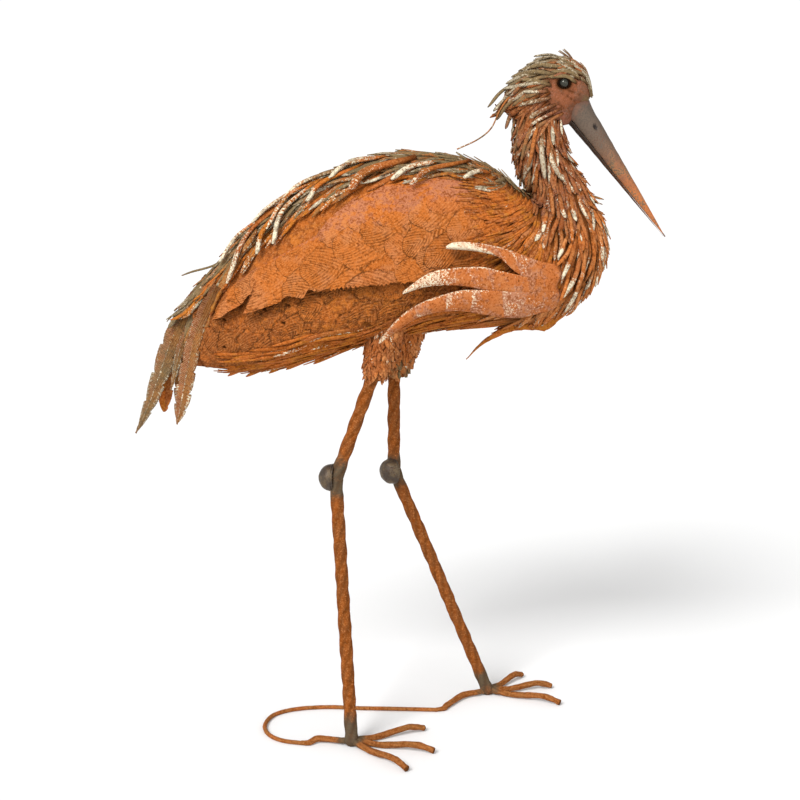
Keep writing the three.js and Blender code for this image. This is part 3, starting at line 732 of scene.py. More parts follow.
def rusted(name, colours, grip, barbs=0.0, broken=0.0, streaks=0.0, patchy=1.0):
    """Rusted sheet iron with dry-brushed paint.

    Orange is mottled by noise of four sizes: ochre clouds, purple-brown blooms, deep freckles and
    pale grains, with dark pits. A strip gets painted shade at its root, where other strips lie over
    it, and its paint covers where the brush mark on the mesh is more than a fine noise. Barbs are
    sine grooves by their count, broken up by noise, with painted shade in the grooves and a painted
    highlight on the ridges. Outlines, holes and slits get painted shadow.
    """
    f = Finish(name)
    where = f.place()
    cloud, blotch = f.noise(where, 38, 4), f.noise(where, 125, 4, 0.6)
    fleck, grit = f.noise(where, 350, 3, 0.65), f.noise(where, 720, 2, 0.6)
    tone, painted, vein = f.mark("tone"), f.mark("paint"), f.mark("vein")
    shade, cut, covered, bloomed = f.mark("shade"), f.mark("cut"), f.mark("covered"), f.mark("bloomed")
    base = f.blend(
        colours["orange"],
        (colours["ochre"], f.step(cloud + tone * 0.16, 0.52, 0.66) * 0.75),
        (colours["deep"], f.step(1 - tone, 0.65, 1.0) * (0.6 * patchy)),
        (colours["bloom"], (1 - f.step((tone - 0.4) ** 2.0, 0.0, 0.015)) * (0.5 * patchy)),
        (colours["bloom"], f.step(blotch * 0.65 + cloud * 0.35 + bloomed * 0.1, 0.53, 0.62) * 0.6),
        (colours["deep"], f.step(fleck * 0.6 + blotch * 0.4, 0.49, 0.6) * 0.75),
        (colours["pale"], f.step(1 - (fleck * 0.45 + grit * 0.55), 0.52, 0.63) * 0.6),
        (colours["crust"], f.step(grit * 0.6 + fleck * 0.4, 0.57, 0.66) * 0.65),
    )
    if streaks > 0:
        slanted = {"Vector": where, "Rotation": (0, -0.75, 0), "Scale": (0.35, 1, 1)}
        tilted = f.add("Mapping", {"vector_type": "POINT"}, slanted)
        dashes = f.step(f.noise(tilted, 560, 3, 0.6), 0.51, 0.62) * vein
        base = f.blend(base, (colours["crust"], dashes * streaks))
    if barbs > 0:
        count = f.mark("barb")
        gaps = f.step(f.noise(where, 190, 3) + (blotch - 0.5) * 0.6, 0.36, 0.56)
        there = f.step(count, 5.0, 15.0) * vein * (gaps * broken + (1 - broken))
        wave = f.add("Math", {"operation": "SINE"}, {0: count * TAU + (fleck - 0.5) * 1.5}) * 0.5 + 0.5
        # Painted shade in the barb grooves and a painted highlight on their ridges
        dark, light = (1 - wave) ** 3.0 * there * 0.55, wave**2.0 * there * 0.3
        base = f.blend(base, (colours["crust"], dark), (colours["pale"], light))
    clouded = shade + (cloud - 0.5) * 1.1 + (fleck - 0.5) * 0.5
    patina = f.step(clouded, 0.25, 0.75) * f.step(shade, 0.02, 0.15)
    bared = f.step(fleck * 0.7 + blotch * 0.3, 0.42, 0.62) * 0.5
    grain = (fleck - 0.5) * 1.9 + (grit - 0.5) * 1.7
    coat = f.step(painted - grain, 0.43, 0.67) * f.step(painted, 0.02, 0.15)
    dull = f.step(blotch * 0.5 + fleck * 0.5 + shade * 0.2 + bloomed * 0.06, 0.45, 0.58)
    base = f.blend(
        base,
        (f.blend(colours["weather"], (colours["bare"], bared)), patina),
        # Painted shade under strips, in grooves, creases and sockets, then painted shadow round lapped
        # feathers and in holes, slits and undersides
        (colours["crust"], covered),
        (colours["crust"], cut * 0.9),
        (f.blend(colours["cream"], (colours["silver"], dull)), coat),
    )
    normal = f.bump(fleck * 0.55 + grit * 0.35 + blotch * 0.3 + coat * 0.1, 0.0011 * grip, 0.9)
    if barbs > 0:
        normal = f.bump(wave * there, 0.0011 * barbs, 1.0, normal)
    return f.shade({
        "Base Color": base,
        "Roughness": 0.8 + (fleck - 0.5) * 0.3 - coat * 0.25 - shade * 0.15,
        "Metallic": shade * 0.2,
        "Normal": normal,
        "Specular IOR Level": 0.05,
    })


def palette():
    """The colours of the finishes by name."""
    chosen = bpy.context.scene.stork_colours
    colours = {name: tuple(getattr(chosen, name)) for name in StorkColours.__annotations__}
    return {"black": (0, 0, 0), **colours}


def mixed(first, second, share):
    """A colour at a share of the way from one to another."""
    return tuple((1 - share) * a + share * b for a, b in zip(first, second))


# The finishes of rusted iron: the colours that are changed for another of the palette or for a mix of
# two by a share, then how coarse the bumps are, and what else differs from plain sheet
RUSTS = {
    "rust on feather strips": ({}, 0.9, {}),
    "rust on plain sheet": ({}, 0.7, {"patchy": 0.3}),
    "rust on barbed sheet": (
        {"ochre": "rosy", "bloom": "mauve"}, 0.8, {"barbs": 1.0, "broken": 0.6, "patchy": 0.3}
    ),
    "rust on neck strips": ({"orange": "neck", "ochre": "orange"}, 0.9, {}),
    "rust on head strips": ({"orange": "head", "ochre": "neck"}, 1.0, {}),
    "rust on breast strips": ({"orange": ("rosy", "pale", 0.8), "ochre": "orange"}, 0.9, {}),
    "rust on rough sheet": (
        {"orange": ("orange", "crust", 0.1), "ochre": ("ochre", "orange", 0.6),
         "bloom": ("bloom", "crust", 0.4)},
        1.4, {"barbs": 1.1, "broken": 0.8, "streaks": 0.6, "patchy": 0.4},
    ),
    "rust on plume": (
        {"orange": ("orange", "mauve", 0.15), "ochre": "rosy", "bloom": ("mauve", "cream", 0.15),
         "silver": ("cream", "rosy", 0.5)},
        0.7, {"patchy": 0.3},
    ),
    "rust on face": (
        {"orange": "face", "pale": "mauve", "ochre": "mauve", "bloom": "beak", "deep": "bloom"}, 1.6, {}
    ),
    # Near black, for the painted shade of the eye rims
    "black eye rim": ({"crust": ("crust", "black", 0.8)}, 1.2, {}),
    "rust on tail feathers": (
        {"orange": "tail", "bloom": "mauve", "pale": "olive"},
        0.8, {"barbs": 0.8, "broken": 0.4, "patchy": 0.5},
    ),
    "rust on forged bar": (
        {"orange": "bar", "bloom": "crust", "ochre": "orange", "weather": ("weather", "bare", 0.7)}, 2.4, {}
    ),
    "rust on toe bar": (
        {"orange": "bar", "bloom": "toe", "ochre": "toe", "weather": ("weather", "bare", 0.5)}, 2.4, {}
    ),
}


def finish(name):
    """A finish by name, made once."""
    made = bpy.data.materials.get(name)
    if made:
        return made
    colours = palette()
    if name not in RUSTS:
        return {"oiled iron": oiled, "beak iron": beak_iron, "eye steel": eye_steel}[name](name, colours)
    changes, grip, more = RUSTS[name]
    changed = dict(colours)
    for key, source in changes.items():
        first, second, share = (source, source, 0) if isinstance(source, str) else source
        changed[key] = mixed(colours[first], colours[second], share)
    return rusted(name, changed, grip, **more)


def oiled(name, colours):
    """Dark bare iron, oiled: grey-brown with rust in its pits and a satin sheen."""
    f = Finish(name)
    where = f.place()
    cloud, fleck = f.noise(where, 90, 4), f.noise(where, 600, 3)
    return f.shade({
        "Base Color": f.blend(
            colours["bare"],
            (colours["weather"], f.step(cloud, 0.4, 0.65) * 0.45),
            (colours["crust"], f.step(fleck, 0.52, 0.66) * 0.6),
            (colours["deep"], f.step(f.mark("tone"), 0.5, 1.0) * 0.5),
        ),
        "Roughness": 0.36 + fleck * 0.3,
        "Metallic": 0.55,
        "Normal": f.bump(fleck * 0.5 + cloud, 0.0014, 0.6),
    })


def beak_iron(name, colours):
    """Smooth beak iron: grey-brown at its root, turning to orange rust towards the tip.

    The mark along gives the place from root to tip, and the two colours cross over between 0.2
    and 0.62 of the way with a ragged edge from noise.
    """
    f = Finish(name)
    where = f.place()
    cloud, fleck = f.noise(where, 60, 4), f.noise(where, 480, 3)
    along = f.mark("along")
    tip = f.blend(colours["orange"], (colours["weather"], f.step(cloud * 0.6 + fleck * 0.6, 0.5, 0.72)))
    base = f.blend(
        colours["beak"],
        (colours["bare"], f.step(fleck, 0.45, 0.7) * 0.5),
        (tip, f.step(along + (cloud - 0.5) * 0.8, 0.2, 0.62) * 0.95),
        (colours["deep"], f.step(fleck, 0.5, 0.62) * f.step(along, 0.05, 0.3) * 0.5),
        (colours["bare"], f.step(cloud * 0.5 + fleck * 0.5, 0.48, 0.62) * 0.5),
        # Painted shade along the top of the beak, fading towards the tip
        (colours["bare"], f.mark("covered") * (1 - f.step(along, 0.3, 0.9)) * 0.75),
        (colours["face"], (1 - f.step(along + (cloud - 0.5) * 0.3, -0.06, 0.05)) * 0.6),
        (colours["crust"], f.step(along, 0.955, 0.985) * 0.8),
        # Near black painted shade in the nostrils and on the lower half
        (mixed(colours["crust"], colours["black"], 0.8), f.mark("cut")),
    )
    return f.shade({
        "Base Color": base,
        "Roughness": 0.5 + fleck * 0.25,
        "Normal": f.bump(fleck * 0.5 + cloud * 0.8, 0.0009, 0.7),
        "Metallic": 0.15,
    })


def eye_steel(name, colours):
    """Dark polished steel, a little clouded."""
    f = Finish(name)
    cloud = f.noise(f.place(), 500, 2)
    return f.shade({
        "Base Color": f.blend(colours["eye"], (colours["glint"], cloud)),
        "Roughness": 0.16 + cloud * 0.12,
        "Metallic": 0.7,
    })


# Body

# The wing in the side view: [share, x, z] along its upper edge and along its lower edge. Both start
# at the tip of the hindmost feather. The lower edge has a second feather tip and small scallops.
WING_TOP = [
    (0, -246, 594), (0.004, -240.5, 610.6), (0.009, -235.4, 622.6), (0.014, -227.8, 631.1),
    (0.02, -226, 638.2), (0.035, -221, 642.6), (0.105, -193.4, 662.3), (0.17, -165.1, 678.3),
    (0.21, -140, 691.5), (0.3, -110, 708), (0.35, -92, 731), (0.45, -60, 756), (0.57, -25, 772),
    (0.7, 15, 779), (0.82, 50, 783), (0.93, 82, 778), (1, 106, 752),
]
WING_LOW = [
    (0, -246, 594), (0.02, -232.4, 598.4), (0.05, -222.2, 606), (0.1, -203.4, 617.4),
    (0.125, -194.7, 628.2), (0.135, -191, 629.6), (0.15, -197.2, 616.5), (0.165, -202.3, 605),
    (0.19, -188.7, 608.5), (0.23, -171.2, 615.7), (0.28, -153.7, 622.3), (0.3, -147.9, 627.8),
    (0.315, -142.9, 630.3), (0.34, -134.5, 630.5), (0.365, -125.2, 628.8), (0.375, -121.8, 629.8),
    (0.385, -119.3, 635.6), (0.395, -115.8, 640), (0.42, -108, 638.2), (0.46, -93.5, 638),
    (0.51, -76.5, 644.9), (0.57, -54.9, 646.7), (0.63, -33.3, 648.5), (0.69, -14.2, 650.8),
    (0.75, 5, 652), (0.84, 38.5, 652), (0.93, 76.9, 654), (1, 116, 662),
]
WING_LIFT = (0.6, 13.0)

# The two long feathers that end in the hind tips: root and tip in the side view, and half the width
PRIMARIES = [((-128, 672), (-248, 592), 21), ((-78, 694), (-205, 601), 24), ((-30, 694), (-122, 634), 19)]


def edge_line(table, u):
    """Places on an edge given as [share, x, z], joined by straight lines."""
    table = np.array(table, float)
    return np.stack([np.interp(u, table[:, 0], table[:, k]) for k in (1, 2)], -1)


def feather_field(x_range, z_range, along, across, way, size, rng):
    """Roots, ways and sizes of lapped feathers in staggered rows, those nearest the tail first."""
    feathers = []
    row = 0
    z = z_range[0]
    while z < z_range[1]:
        x = x_range[0] + (along / 2 if row % 2 else 0)
        while x < x_range[1]:
            root = (x + rng.uniform(-8, 8), z + rng.uniform(-6, 6))
            turned_by = rng.uniform(-0.3, 0.3)
            sizes = (size[0] * rng.uniform(0.75, 1.3), size[1] * rng.uniform(0.75, 1.25))
            feathers.append((root, way(*root) + turned_by, sizes))
            x += along
        z += across
        row += 1
    feathers.sort(key=lambda feather: feather[0][0] + 0.35 * feather[0][1])
    return [list(column) for column in zip(*feathers)]


# The wing's lower edge over the flank in the side view: its places along, its heights
FLANK_TOP = (
    [-243, -218, -199, -168, -149, -121, -86, -56, -26, 8, 48, 84, 100],
    [600, 609, 607, 615, 628, 629, 640, 644, 645, 657, 670, 690, 709],
)


def wing_low_z(x):
    """The height of the wing's lower edge over the flank at x."""
    return np.interp(x, *FLANK_TOP)


def body_shell():
    """The torso shell, with lapped feathers hammered into both flanks below the wings.

    Its points lie closest on the flanks. Here and there the noise is deep enough for a dent, painted
    dark as the shadow inside a hole. A band along the wing's lower edge, and the back under its
    strips, get painted shade.
    """
    rng = np.random.default_rng(11)
    flank_angles = np.linspace(0.62, 2.62, 160)
    belly_angles = np.linspace(2.62, TAU - 2.62, 14)[1:-1]
    back_angles = np.linspace(-0.62, 0.62, 16)[1:-1] + TAU
    angles = np.concatenate([flank_angles, belly_angles, TAU - flank_angles[::-1], back_angles])
    s, a = np.meshgrid(np.linspace(0.0, 5.25, 250), angles, indexing="ij")
    skin, normal = raised(body, s, a, 0)
    x, z = skin[..., 0], skin[..., 2]
    field = feather_field(
        (-300, 150), (520, 730), 33, 23, lambda px, pz: np.pi + 0.9 + 0.25 * np.sin(px / 40), (54, 19), rng
    )
    height, barb, cut, tone, strong = lapped(x, z, *field, 5.6, 5)
    edge = wing_low_z(x)
    below = (1 - ease(z, edge + 2, edge + 12)) * (1 - ease(x, 96, 112))
    flank = ease(np.abs(normal[..., 1]), 0.2, 0.5)
    shown = below * flank
    relief = (1.25 * height + 1.1 * ripple(skin, 9, 17) * below) * shown + 0.5 * ripple(skin, 40, 3)
    # Dents painted dark as the shadow inside a hole
    holes = ease(ripple(skin * (0.55, 1, 1), 13, 23), 1.02, 1.2) * shown
    # Painted shadow of the wing on a band along its lower edge
    shaded_band = ease(z, edge - 16, edge + 2) * (1 - ease(z, edge + 8, edge + 30))
    shaded_band *= ease(x, -245, -215) * (1 - ease(x, 60, 100))
    capped(
        skin + normal * (relief - 0.6 - 2.5 * holes)[..., None],
        barb=barb, vein=shown * strong, cut=np.maximum(cut * shown, 1.1 * holes), tone=tone,
        # Painted shade under the wing's edge, and on the back under its strips
        covered=np.maximum(0.35 * shaded_band, 0.5 * (1 - flank) * (z > 650)),
        bloomed=0.4 + 0.8 * (1 - ease(x, -190, -120)),
    ).make("body_shell", "rust on rough sheet", "rust_sheet", "torso")


# The row of long strips that hangs over the upper edge of the wing: [x, z] at root, middle and tip in
# the side view, the width, how much paint is on it and from where along it
SIDE_STRIPS = [
    ((58, 802), (15.8, 790.9), (-11.2, 774.9), 8.5, 0.95, 0.3),
    ((92, 801), (39.4, 787.1), (12.8, 769.1), 8.0, 0.6, 0.75),
    ((118, 786), (101, 785), (81, 777), 7.5, 1.0, 0.5),
    ((20, 806), (-39.5, 785.7), (-63.3, 761.7), 15.0, 0.35, 0.45),
    ((-10, 809), (-50.0, 800.5), (-80.0, 783.0), 9.0, 0.95, 0.25),
    ((-12, 808), (-64.1, 792.1), (-89.9, 773.9), 9.0, 0.85, 0.3),
    ((-48, 797), (-96, 771), (-119.2, 746.1), 9.0, 0.9, 0.7),
    ((-66, 795), (-112, 776), (-150, 748.0), 9.5, 0.75, 0.35),
    ((-88, 789), (-146.3, 738.4), (-162.9, 693.5), 8.5, 0.95, 0.45),
    ((-103, 778), (-142, 752), (-171, 710), 8.5, 0.55, 0.3),
    ((-128, 762), (-172.1, 714.2), (-184.9, 679.6), 9.0, 0.9, 0.72),
    ((-84, 795), (-155, 748.3), (-192.9, 715.7), 9.5, 0.8, 0.3),
    ((-140, 757), (-196, 703.9), (-226, 640.9), 9.5, 0.7, 0.55),
    ((-152, 752), (-205, 704.4), (-236, 664.5), 8.5, 0.8, 0.4),
]


def side_strips():
    """The painted strips that hang over the upper edge of each wing."""
    rng = np.random.default_rng(23)
    piece = Piece()
    for side in SIDES.values():
        for number, (*places, width, paint, start) in enumerate(SIDE_STRIPS):
            x, z = spline(places, SINGLE).T
            lift = 6.0 + 7.5 * ease(SINGLE, 0.0, 0.7) - 2.0 * ease(SINGLE, 0.75, 1.0) + 0.8 * (number % 2)
            centre, normal = on_flank(x, z, lift, side)
            blunt = rng.uniform(0.45, 0.65)
            begun = start - rng.uniform(0.05, 0.3)
            tone, weather = rng.uniform(0.2, 0.9), 0.5 * rng.uniform(0, 1)
            strip(
                piece, centre, normal, width, 0.62, 1.3, blunt, tone=tone,
                paint=brushed(paint, (0.55, begun, begun + 0.12), (0.45, start, 0.9)),
                covered=shaded_root(0.6, 0.25), shade=lambda share: weather * (1 - ease(share, 0.5, 0.9)),
            )
    piece.make("side_strips", "rust on feather strips", "rust_sheet", "torso")


# Long strips that run from the rump into the tail: [x, y, z] from root to tip on the right side, the
# width, the weathering and the paint. They are made again on the left side.
COVERTS = [
    ([(-190, -60, 715), (-205.2, -52, 694.5), (-220.4, -48, 675.2), (-233.7, -42, 652),
      (-255.8, -34, 629.5)], 10, 0.2, 0.6),
    ([(-215, -55, 680), (-231.1, -52, 655.2), (-245.1, -50, 633.4), (-255.6, -47, 612.6), (-263.9, -44, 588),
      (-272.2, -41, 565.7)], 15, 0.1, 0.05),
    ([(-236, -34, 664), (-256.2, -30, 636.4), (-273, -27, 614.2), (-287.6, -24, 590.6),
      (-295.9, -22, 566.9)], 13, 0.7, 0.2),
    ([(-256, -18, 656), (-274.1, -16, 635.2), (-290.9, -14, 615.3), (-307.8, -12, 595.4),
      (-320.6, -12, 578)], 11, 0.9, 0.45),
    ([(-232, -14, 684), (-251.9, -12, 664.2), (-270, -9, 644.3), (-286.6, -8, 628.3)], 8, 0.95, 0.1),
    ([(-200, -40, 706), (-216.7, -36, 690), (-235.7, -32, 674.1), (-254.9, -28, 653.2), (-272.9, -24, 634.7),
      (-289.9, -20, 617.2)], 9, 0.6, 0.55),
    ([(-213, -48, 684), (-228.1, -46, 664.3), (-241, -42, 647.2), (-254.1, -38, 627.5), (-272.4, -34, 599.1),
      (-286.9, -31, 576.7), (-296.2, -29, 557.9)], 12, 0.45, 0.3),
]


def covert_strips():
    """The long strips that cover the root of the tail, on both sides."""
    rng = np.random.default_rng(27)
    piece = Piece()
    for side in SIDES.values():
        for path, width, weather, paint in COVERTS:
            centre = spline(path, SINGLE) * (1, -side, 1) + (0, 0, rng.uniform(-2, 2) * (side > 0))
            # Edge paint: dry-brushed paint that also stands in for the highlight on the edges
            rim = 0.6 * (paint > 0.15) * STRIP_EDGES
            strip(
                piece, centre, unit([-0.35, 0.8 * side, 0.5]), width, 0.4, 1.3, 0.2,
                tone=rng.uniform(0.3, 1), shade=lambda share: weather * (0.75 + 0.25 * share),
                paint=lambda share: np.maximum(paint * (0.24 + 0.36 * ease(share, 0.3, 0.9)), rim),
                covered=shaded_root(0.5, 0.25),
            )
    piece.make("covert_strips", "rust on tail feathers", "rust_sheet", "torso")


def back_strips():
    """Narrow weathered strips on the ridge of the back, which sweep back to free pointed ends."""
    sizes = bpy.context.scene.stork_sizes
    rng = np.random.default_rng(21)
    piece = Piece()
    s, a = scatter(body, (0.25, 5.5), (-0.66, 0.66), 15, 6.4, rng)
    count = len(s)
    length = rng.uniform(54, 92, count) * (1 - 0.35 * ease(s, 4.0, 5.2)) * sizes.strip_length
    lift = (0.6, rng.uniform(3.0, 9.5, count) * (1 - 0.2 * ease(np.abs(a), 0.1, 0.9)))
    lines, normals = traced(body, s, a, length, rng.normal(0, 0.09, count), lift, hold=0.55)
    width = rng.uniform(5.5, 9.0, count) * (1 - 0.35 * ease(s, 4.4, 5.4)) * sizes.strip_width
    ridge = 1 - ease(np.abs(a), 0.35, 0.7)
    chance = rng.uniform(0, 1, count)
    painted = np.where(chance < 0.16, rng.uniform(0.6, 0.9, count), np.where(chance < 0.55, 0.42, 0.0))
    weather = ridge * rng.uniform(0.45, 1, count) + (1 - ridge) * 0.2 * rng.uniform(0, 1, count)
    plume(piece, lines, normals, width, rng, painted, blunt=(0.02, 0.3), rim=0.45, root_shade=0.7, shade=weather)
    back_fringe(piece, rng)
    piece.make("back_strips", "rust on feather strips", "rust_sheet", "torso")


# The height of the back's middle line from the wings to the foot of the neck: its places, its heights
BACK_HEIGHTS = ([50, 71, 127, 160, 180, 200], [811, 810, 792, 768, 750, 742])


def back_fringe(piece, rng):
    """Adds the fine strips that lie from the foot of the neck over the front of the back.

    They lie in three rows on the back's middle line, less 0.011 y^2, and spread as they run back.
    """
    share = np.linspace(0, 1, 10)
    for across in np.linspace(-34, 34, 16):
        for run in range(3):
            x, y = 178 - 24 * run + rng.uniform(-6, 6), across * (1 + 0.25 * run) + rng.uniform(-2, 2)
            long = rng.uniform(40, 66)
            x_line = np.array([x, x - long / 2, x - long])
            heights = np.interp(x_line, *BACK_HEIGHTS) - 0.011 * y**2 + (1.0, 3.0, rng.uniform(4, 11))
            centre = spline(np.stack([x_line, y * np.array([1, 1.12, 1.25]), heights], -1), share)
            sharp, width = rng.uniform(0.02, 0.2), rng.uniform(3.6, 6.0)
            paint = brushed(0.6 * (rng.uniform() < 0.45), (1, 0.35, 0.8))
            strip(
                piece, centre, unit([0.25, 0.02 * y, 1.0]), width, 0.45, 1.1, sharp, tone=rng.uniform(0, 1),
                paint=paint, shade=rng.uniform(0.35, 0.95), covered=shaded_root(0.7, 0.35),
            )


# Where the free spikes under the belly end, in the side view
BELLY_SPIKES = ((-239, 512), (-214, 511), (-182, 516), (-158, 521), (-120, 529))


def belly_strips():
    """Long narrow strips that lie along the belly to the tail, a few of them hanging free."""
    rng = np.random.default_rng(31)
    piece = Piece()
    s, a = scatter(body, (0.1, 5.4), (2.35, TAU - 2.35), 24, 6.6, rng)
    length = rng.uniform(60, 105, len(s))
    reach = length * bpy.context.scene.stork_sizes.strip_length
    inside = body(s, a)[:, 0] - reach > -268
    s, a, length = s[inside], a[inside], length[inside]
    laid = combed(rng, body, s, a, length, 0.4, (1.0, 6.5), 0.05, (4.5, 8))
    painted = some(rng, len(s), 0.08, 0.5)
    plume(piece, *laid, rng, painted, arch=0.35, blunt=(0.02, 0.3), shade=rng.uniform(0, 0.15, len(s)))
    for x, z in BELLY_SPIKES:
        for turn in (-0.12, 0.16):
            y = 120 * turn
            tip = (x, y, z + 30 * abs(turn) - 4)
            centre = spline([(x + 62, y, z + 26), (x + 30, y, z + 13), tip], SINGLE)
            facing = unit([0, 0.9 * np.sign(turn), -0.7])
            strip(piece, centre, facing, 7.5, 0.3, SHEET, 0.3, tone=rng.uniform(0.7, 1), shade=0.12)
    piece.make("belly_strips", "rust on feather strips", "rust_sheet", "torso")


def neck_shell():
    """The plain shell under the strips of the neck and breast."""
    points, _ = raised(body, *rings(4.9, 11.25, 70, 56), -1.2)
    outwards = unit(points - points.mean(1, keepdims=True))
    points = points + 0.5 * ripple(points, 25, 8)[..., None] * outwards
    # Painted shade over the shell, which shows in the gaps between the strips
    shell = capped(points, covered=0.75, tone=0.4)
    shell.make("neck_shell", "rust on feather strips", "rust_sheet", "neck_and_breast")


# Single strips over the neck: [x, z] at root, middle and tip in the side view, the width, how much
# paint is on it, from what share of the way, and the weathering
NECK_SPRIGS = [
    ((190, 841), (189, 815), (193, 781), 8.0, 0.75, 0.1, 0.5),
    ((200, 825), (205, 801), (219, 779), 8.5, 0.75, 0.1, 0.4),
    ((218, 797), (224, 778), (234, 762), 6.5, 0.6, 0.2, 0.2),
    ((212, 762), (215, 745), (219, 731), 7.0, 1.0, 0.6, 0.0),
    ((228, 762), (230, 742), (234, 727), 7.0, 1.0, 0.5, 0.0),
    ((237, 765), (243, 745), (252, 729), 6.5, 0.7, 0.2, 0.1),
    ((183, 798), (182, 781), (181, 763), 6.0, 0.1, 0.5, 0.3),
    ((196, 740), (192, 726), (188, 713), 6.5, 0.95, 0.5, 0.0),
    ((210, 843), (218, 824), (230, 804), 7.0, 0.05, 0.5, 0.0),
    ((221, 826), (227, 806), (239, 785), 7.0, 0.1, 0.5, 0.0),
    ((229, 806), (239, 789), (254, 776), 6.0, 0.2, 0.7, 0.1),
    ((237, 776), (248, 761), (260, 748), 6.0, 0.1, 0.5, 0.1),
    ((176, 850), (168, 832), (163, 806), 6.5, 0.1, 0.5, 0.55),
    ((184, 856), (178, 830), (173, 800), 6.5, 0.1, 0.5, 0.35),
    ((200, 770), (202, 752), (203, 735), 6.5, 0.15, 0.5, 0.0),
    ((178, 822), (172, 800), (169, 776), 6.0, 0.3, 0.6, 0.5),
    ((246, 742), (254, 722), (258, 700), 6.5, 0.9, 0.6, 0.0),
    ((224, 742), (228, 720), (228, 698), 6.5, 0.3, 0.6, 0.0),
    ((262, 734), (266, 712), (266, 688), 6.0, 0.8, 0.5, 0.0),
    ((236, 716), (240, 694), (236, 672), 6.5, 0.9, 0.65, 0.0),
    ((252, 704), (254, 682), (247, 660), 6.5, 0.9, 0.6, 0.0),
    ((214, 716), (214, 696), (209, 676), 6.0, 0.85, 0.65, 0.0),
]

# Strips that hang over the root of each wing plume
PLUME_SPRIGS = [
    ((234, 706), (226, 683), (210, 652), 7.0, 0.9, 0.7),
    ((240, 684), (231, 660), (213, 632), 7.5, 0.8, 0.6),
    ((243, 662), (232, 640), (216, 614), 7.0, 0.8, 0.5),
    ((230, 700), (219, 683), (203, 668), 6.0, 0.1, 0.5),
    ((222, 706), (214, 692), (205, 677), 6.0, 0.9, 0.6),
    ((244, 640), (234, 622), (222, 603), 7.0, 0.3, 0.5),
    ((246, 690), (240, 664), (229, 640), 7.0, 0.2, 0.5),
    ((226, 668), (218, 648), (208, 626), 6.0, 0.1, 0.5),
]
FRONT_SPIKES = [
    ((236, 797), (249, 789)), ((234, 790), (254, 779)), ((246, 768), (265, 757)),
    ((258, 756), (278, 749)), ((262, 747), (279, 738)), ((222, 832), (231, 818)),
    ((228, 815), (242, 801)), ((266, 730), (281, 716)),
]


def neck_strips():
    """Rows of strips that run down the neck and fan out over the breast.

    Those of the nape go to a browner piece and those of the breast to a paler one, with ragged
    borders between the three.
    """
    sizes = bpy.context.scene.stork_sizes
    rng = np.random.default_rng(41)
    s, a = scatter(body, (5.1, 11.2), (-np.pi, np.pi), 13, 6.2, rng)
    hollow = (np.abs(a) < 0.75) & (s < 7.4) | (np.abs(a) > 0.6) & (np.abs(a) < 2.3) & (s < 6.0)
    hollow |= (np.abs(a) > 2.5) & (s < 8.4)
    s, a = s[~hollow], a[~hollow]
    count = len(s)
    thinner = 1 - 0.2 * ease(s, 8.5, 11)
    length = rng.uniform(36, 60, count) * thinner * sizes.strip_length
    front = ease(np.abs(a), 2.2, 3.0)
    nape = 1 - ease(np.abs(a), 0.4, 1.0)
    tip = rng.uniform(2.0, 6.5, count) + front * rng.uniform(0, 5, count) * ease(s, 6.6, 8)
    tip = tip + nape * rng.uniform(0, 4, count) * ease(s, 7.5, 9)
    lines, normals = traced(body, s, a, length, rng.normal(0, 0.15, count), (0.5, tip))
    width = rng.uniform(5.5, 8.5, count) * thinner * sizes.strip_width
    chance = rng.uniform(0, 1, count)
    painted = np.where(chance < 0.13, rng.uniform(0.7, 1.0, count), np.where(chance < 0.3, 0.4, 0.0))
    painted = painted * ease(s, 6.2, 6.6)
    back = 1 - ease(np.abs(a), 0.9, 1.6)
    shade = np.maximum(0.7 * nape, 0.5 * back * ease(s, 7.5, 9)) * rng.uniform(0.2, 1, count)
    bloomed = (1.6 * ease(s, 8.2, 9.6) * (1 - front) + 0.3) * rng.uniform(0.3, 1, count)
    browner = s + rng.uniform(-0.5, 0.5, count) - 0.9 * np.abs(a) > 6.9
    paler = ~browner & (s + rng.uniform(-0.4, 0.4, count) < 6.9)
    neck, nape_piece, breast = Piece(), Piece(), Piece()
    for piece, pick in ((neck, ~browner & ~paler), (nape_piece, browner), (breast, paler)):
        plume(piece, lines[pick], normals[pick], width[pick], rng, painted[pick], blunt=(0.03, 0.35),
              rim=0.5, root_shade=0.65, shade=shade[pick], bloomed=bloomed[pick])
    breast_front(breast, rng)
    for side in SIDES.values():
        placed(neck, NECK_SPRIGS, side, (3.5, 8.0), rng)
        for *places, width, paint, start in PLUME_SPRIGS:
            x, z = spline(places, SINGLE).T
            centre, normal = on_flank(x, z, 4.0 + 8.5 * ease(SINGLE, 0.1, 0.75), side)
            strip(breast, centre, normal, width, 0.55, SHEET, 0.25, tone=rng.uniform(0, 1),
                  paint=brushed(paint, (1, start - 0.1, start + 0.15)), covered=shaded_root(0.6, 0.25))
    front_spikes(neck, rng)
    nape_piece.make("nape_strips", "rust on head strips", "rust_sheet", "neck_and_breast")
    neck.make("neck_strips", "rust on neck strips", "rust_sheet", "neck_and_breast")
    breast.make("breast_strips", "rust on breast strips", "rust_sheet", "neck_and_breast")


def breast_front(piece, rng):
    """Adds strips that hang straight down the front of the breast with their ends standing off."""
    sizes = bpy.context.scene.stork_sizes
    s, a = scatter(body, (5.35, 8.9), (2.45, TAU - 2.45), 11, 6.0, rng)
    count = len(s)
    lift = (0.5, rng.uniform(2.0, 12.0, count))
    length = rng.uniform(32, 50, count) * sizes.strip_length
    lines, normals = traced(body, s, a, length, rng.normal(0, 0.12, count), lift, DOWN, hold=50.0)
    width = rng.uniform(5.5, 8.5, count) * sizes.strip_width
    painted = some(rng, count, 0.22, 0.5, 1.0)
    plume(piece, lines, normals, width, rng, painted, blunt=(0.03, 0.35), rim=0.4, root_shade=0.4)


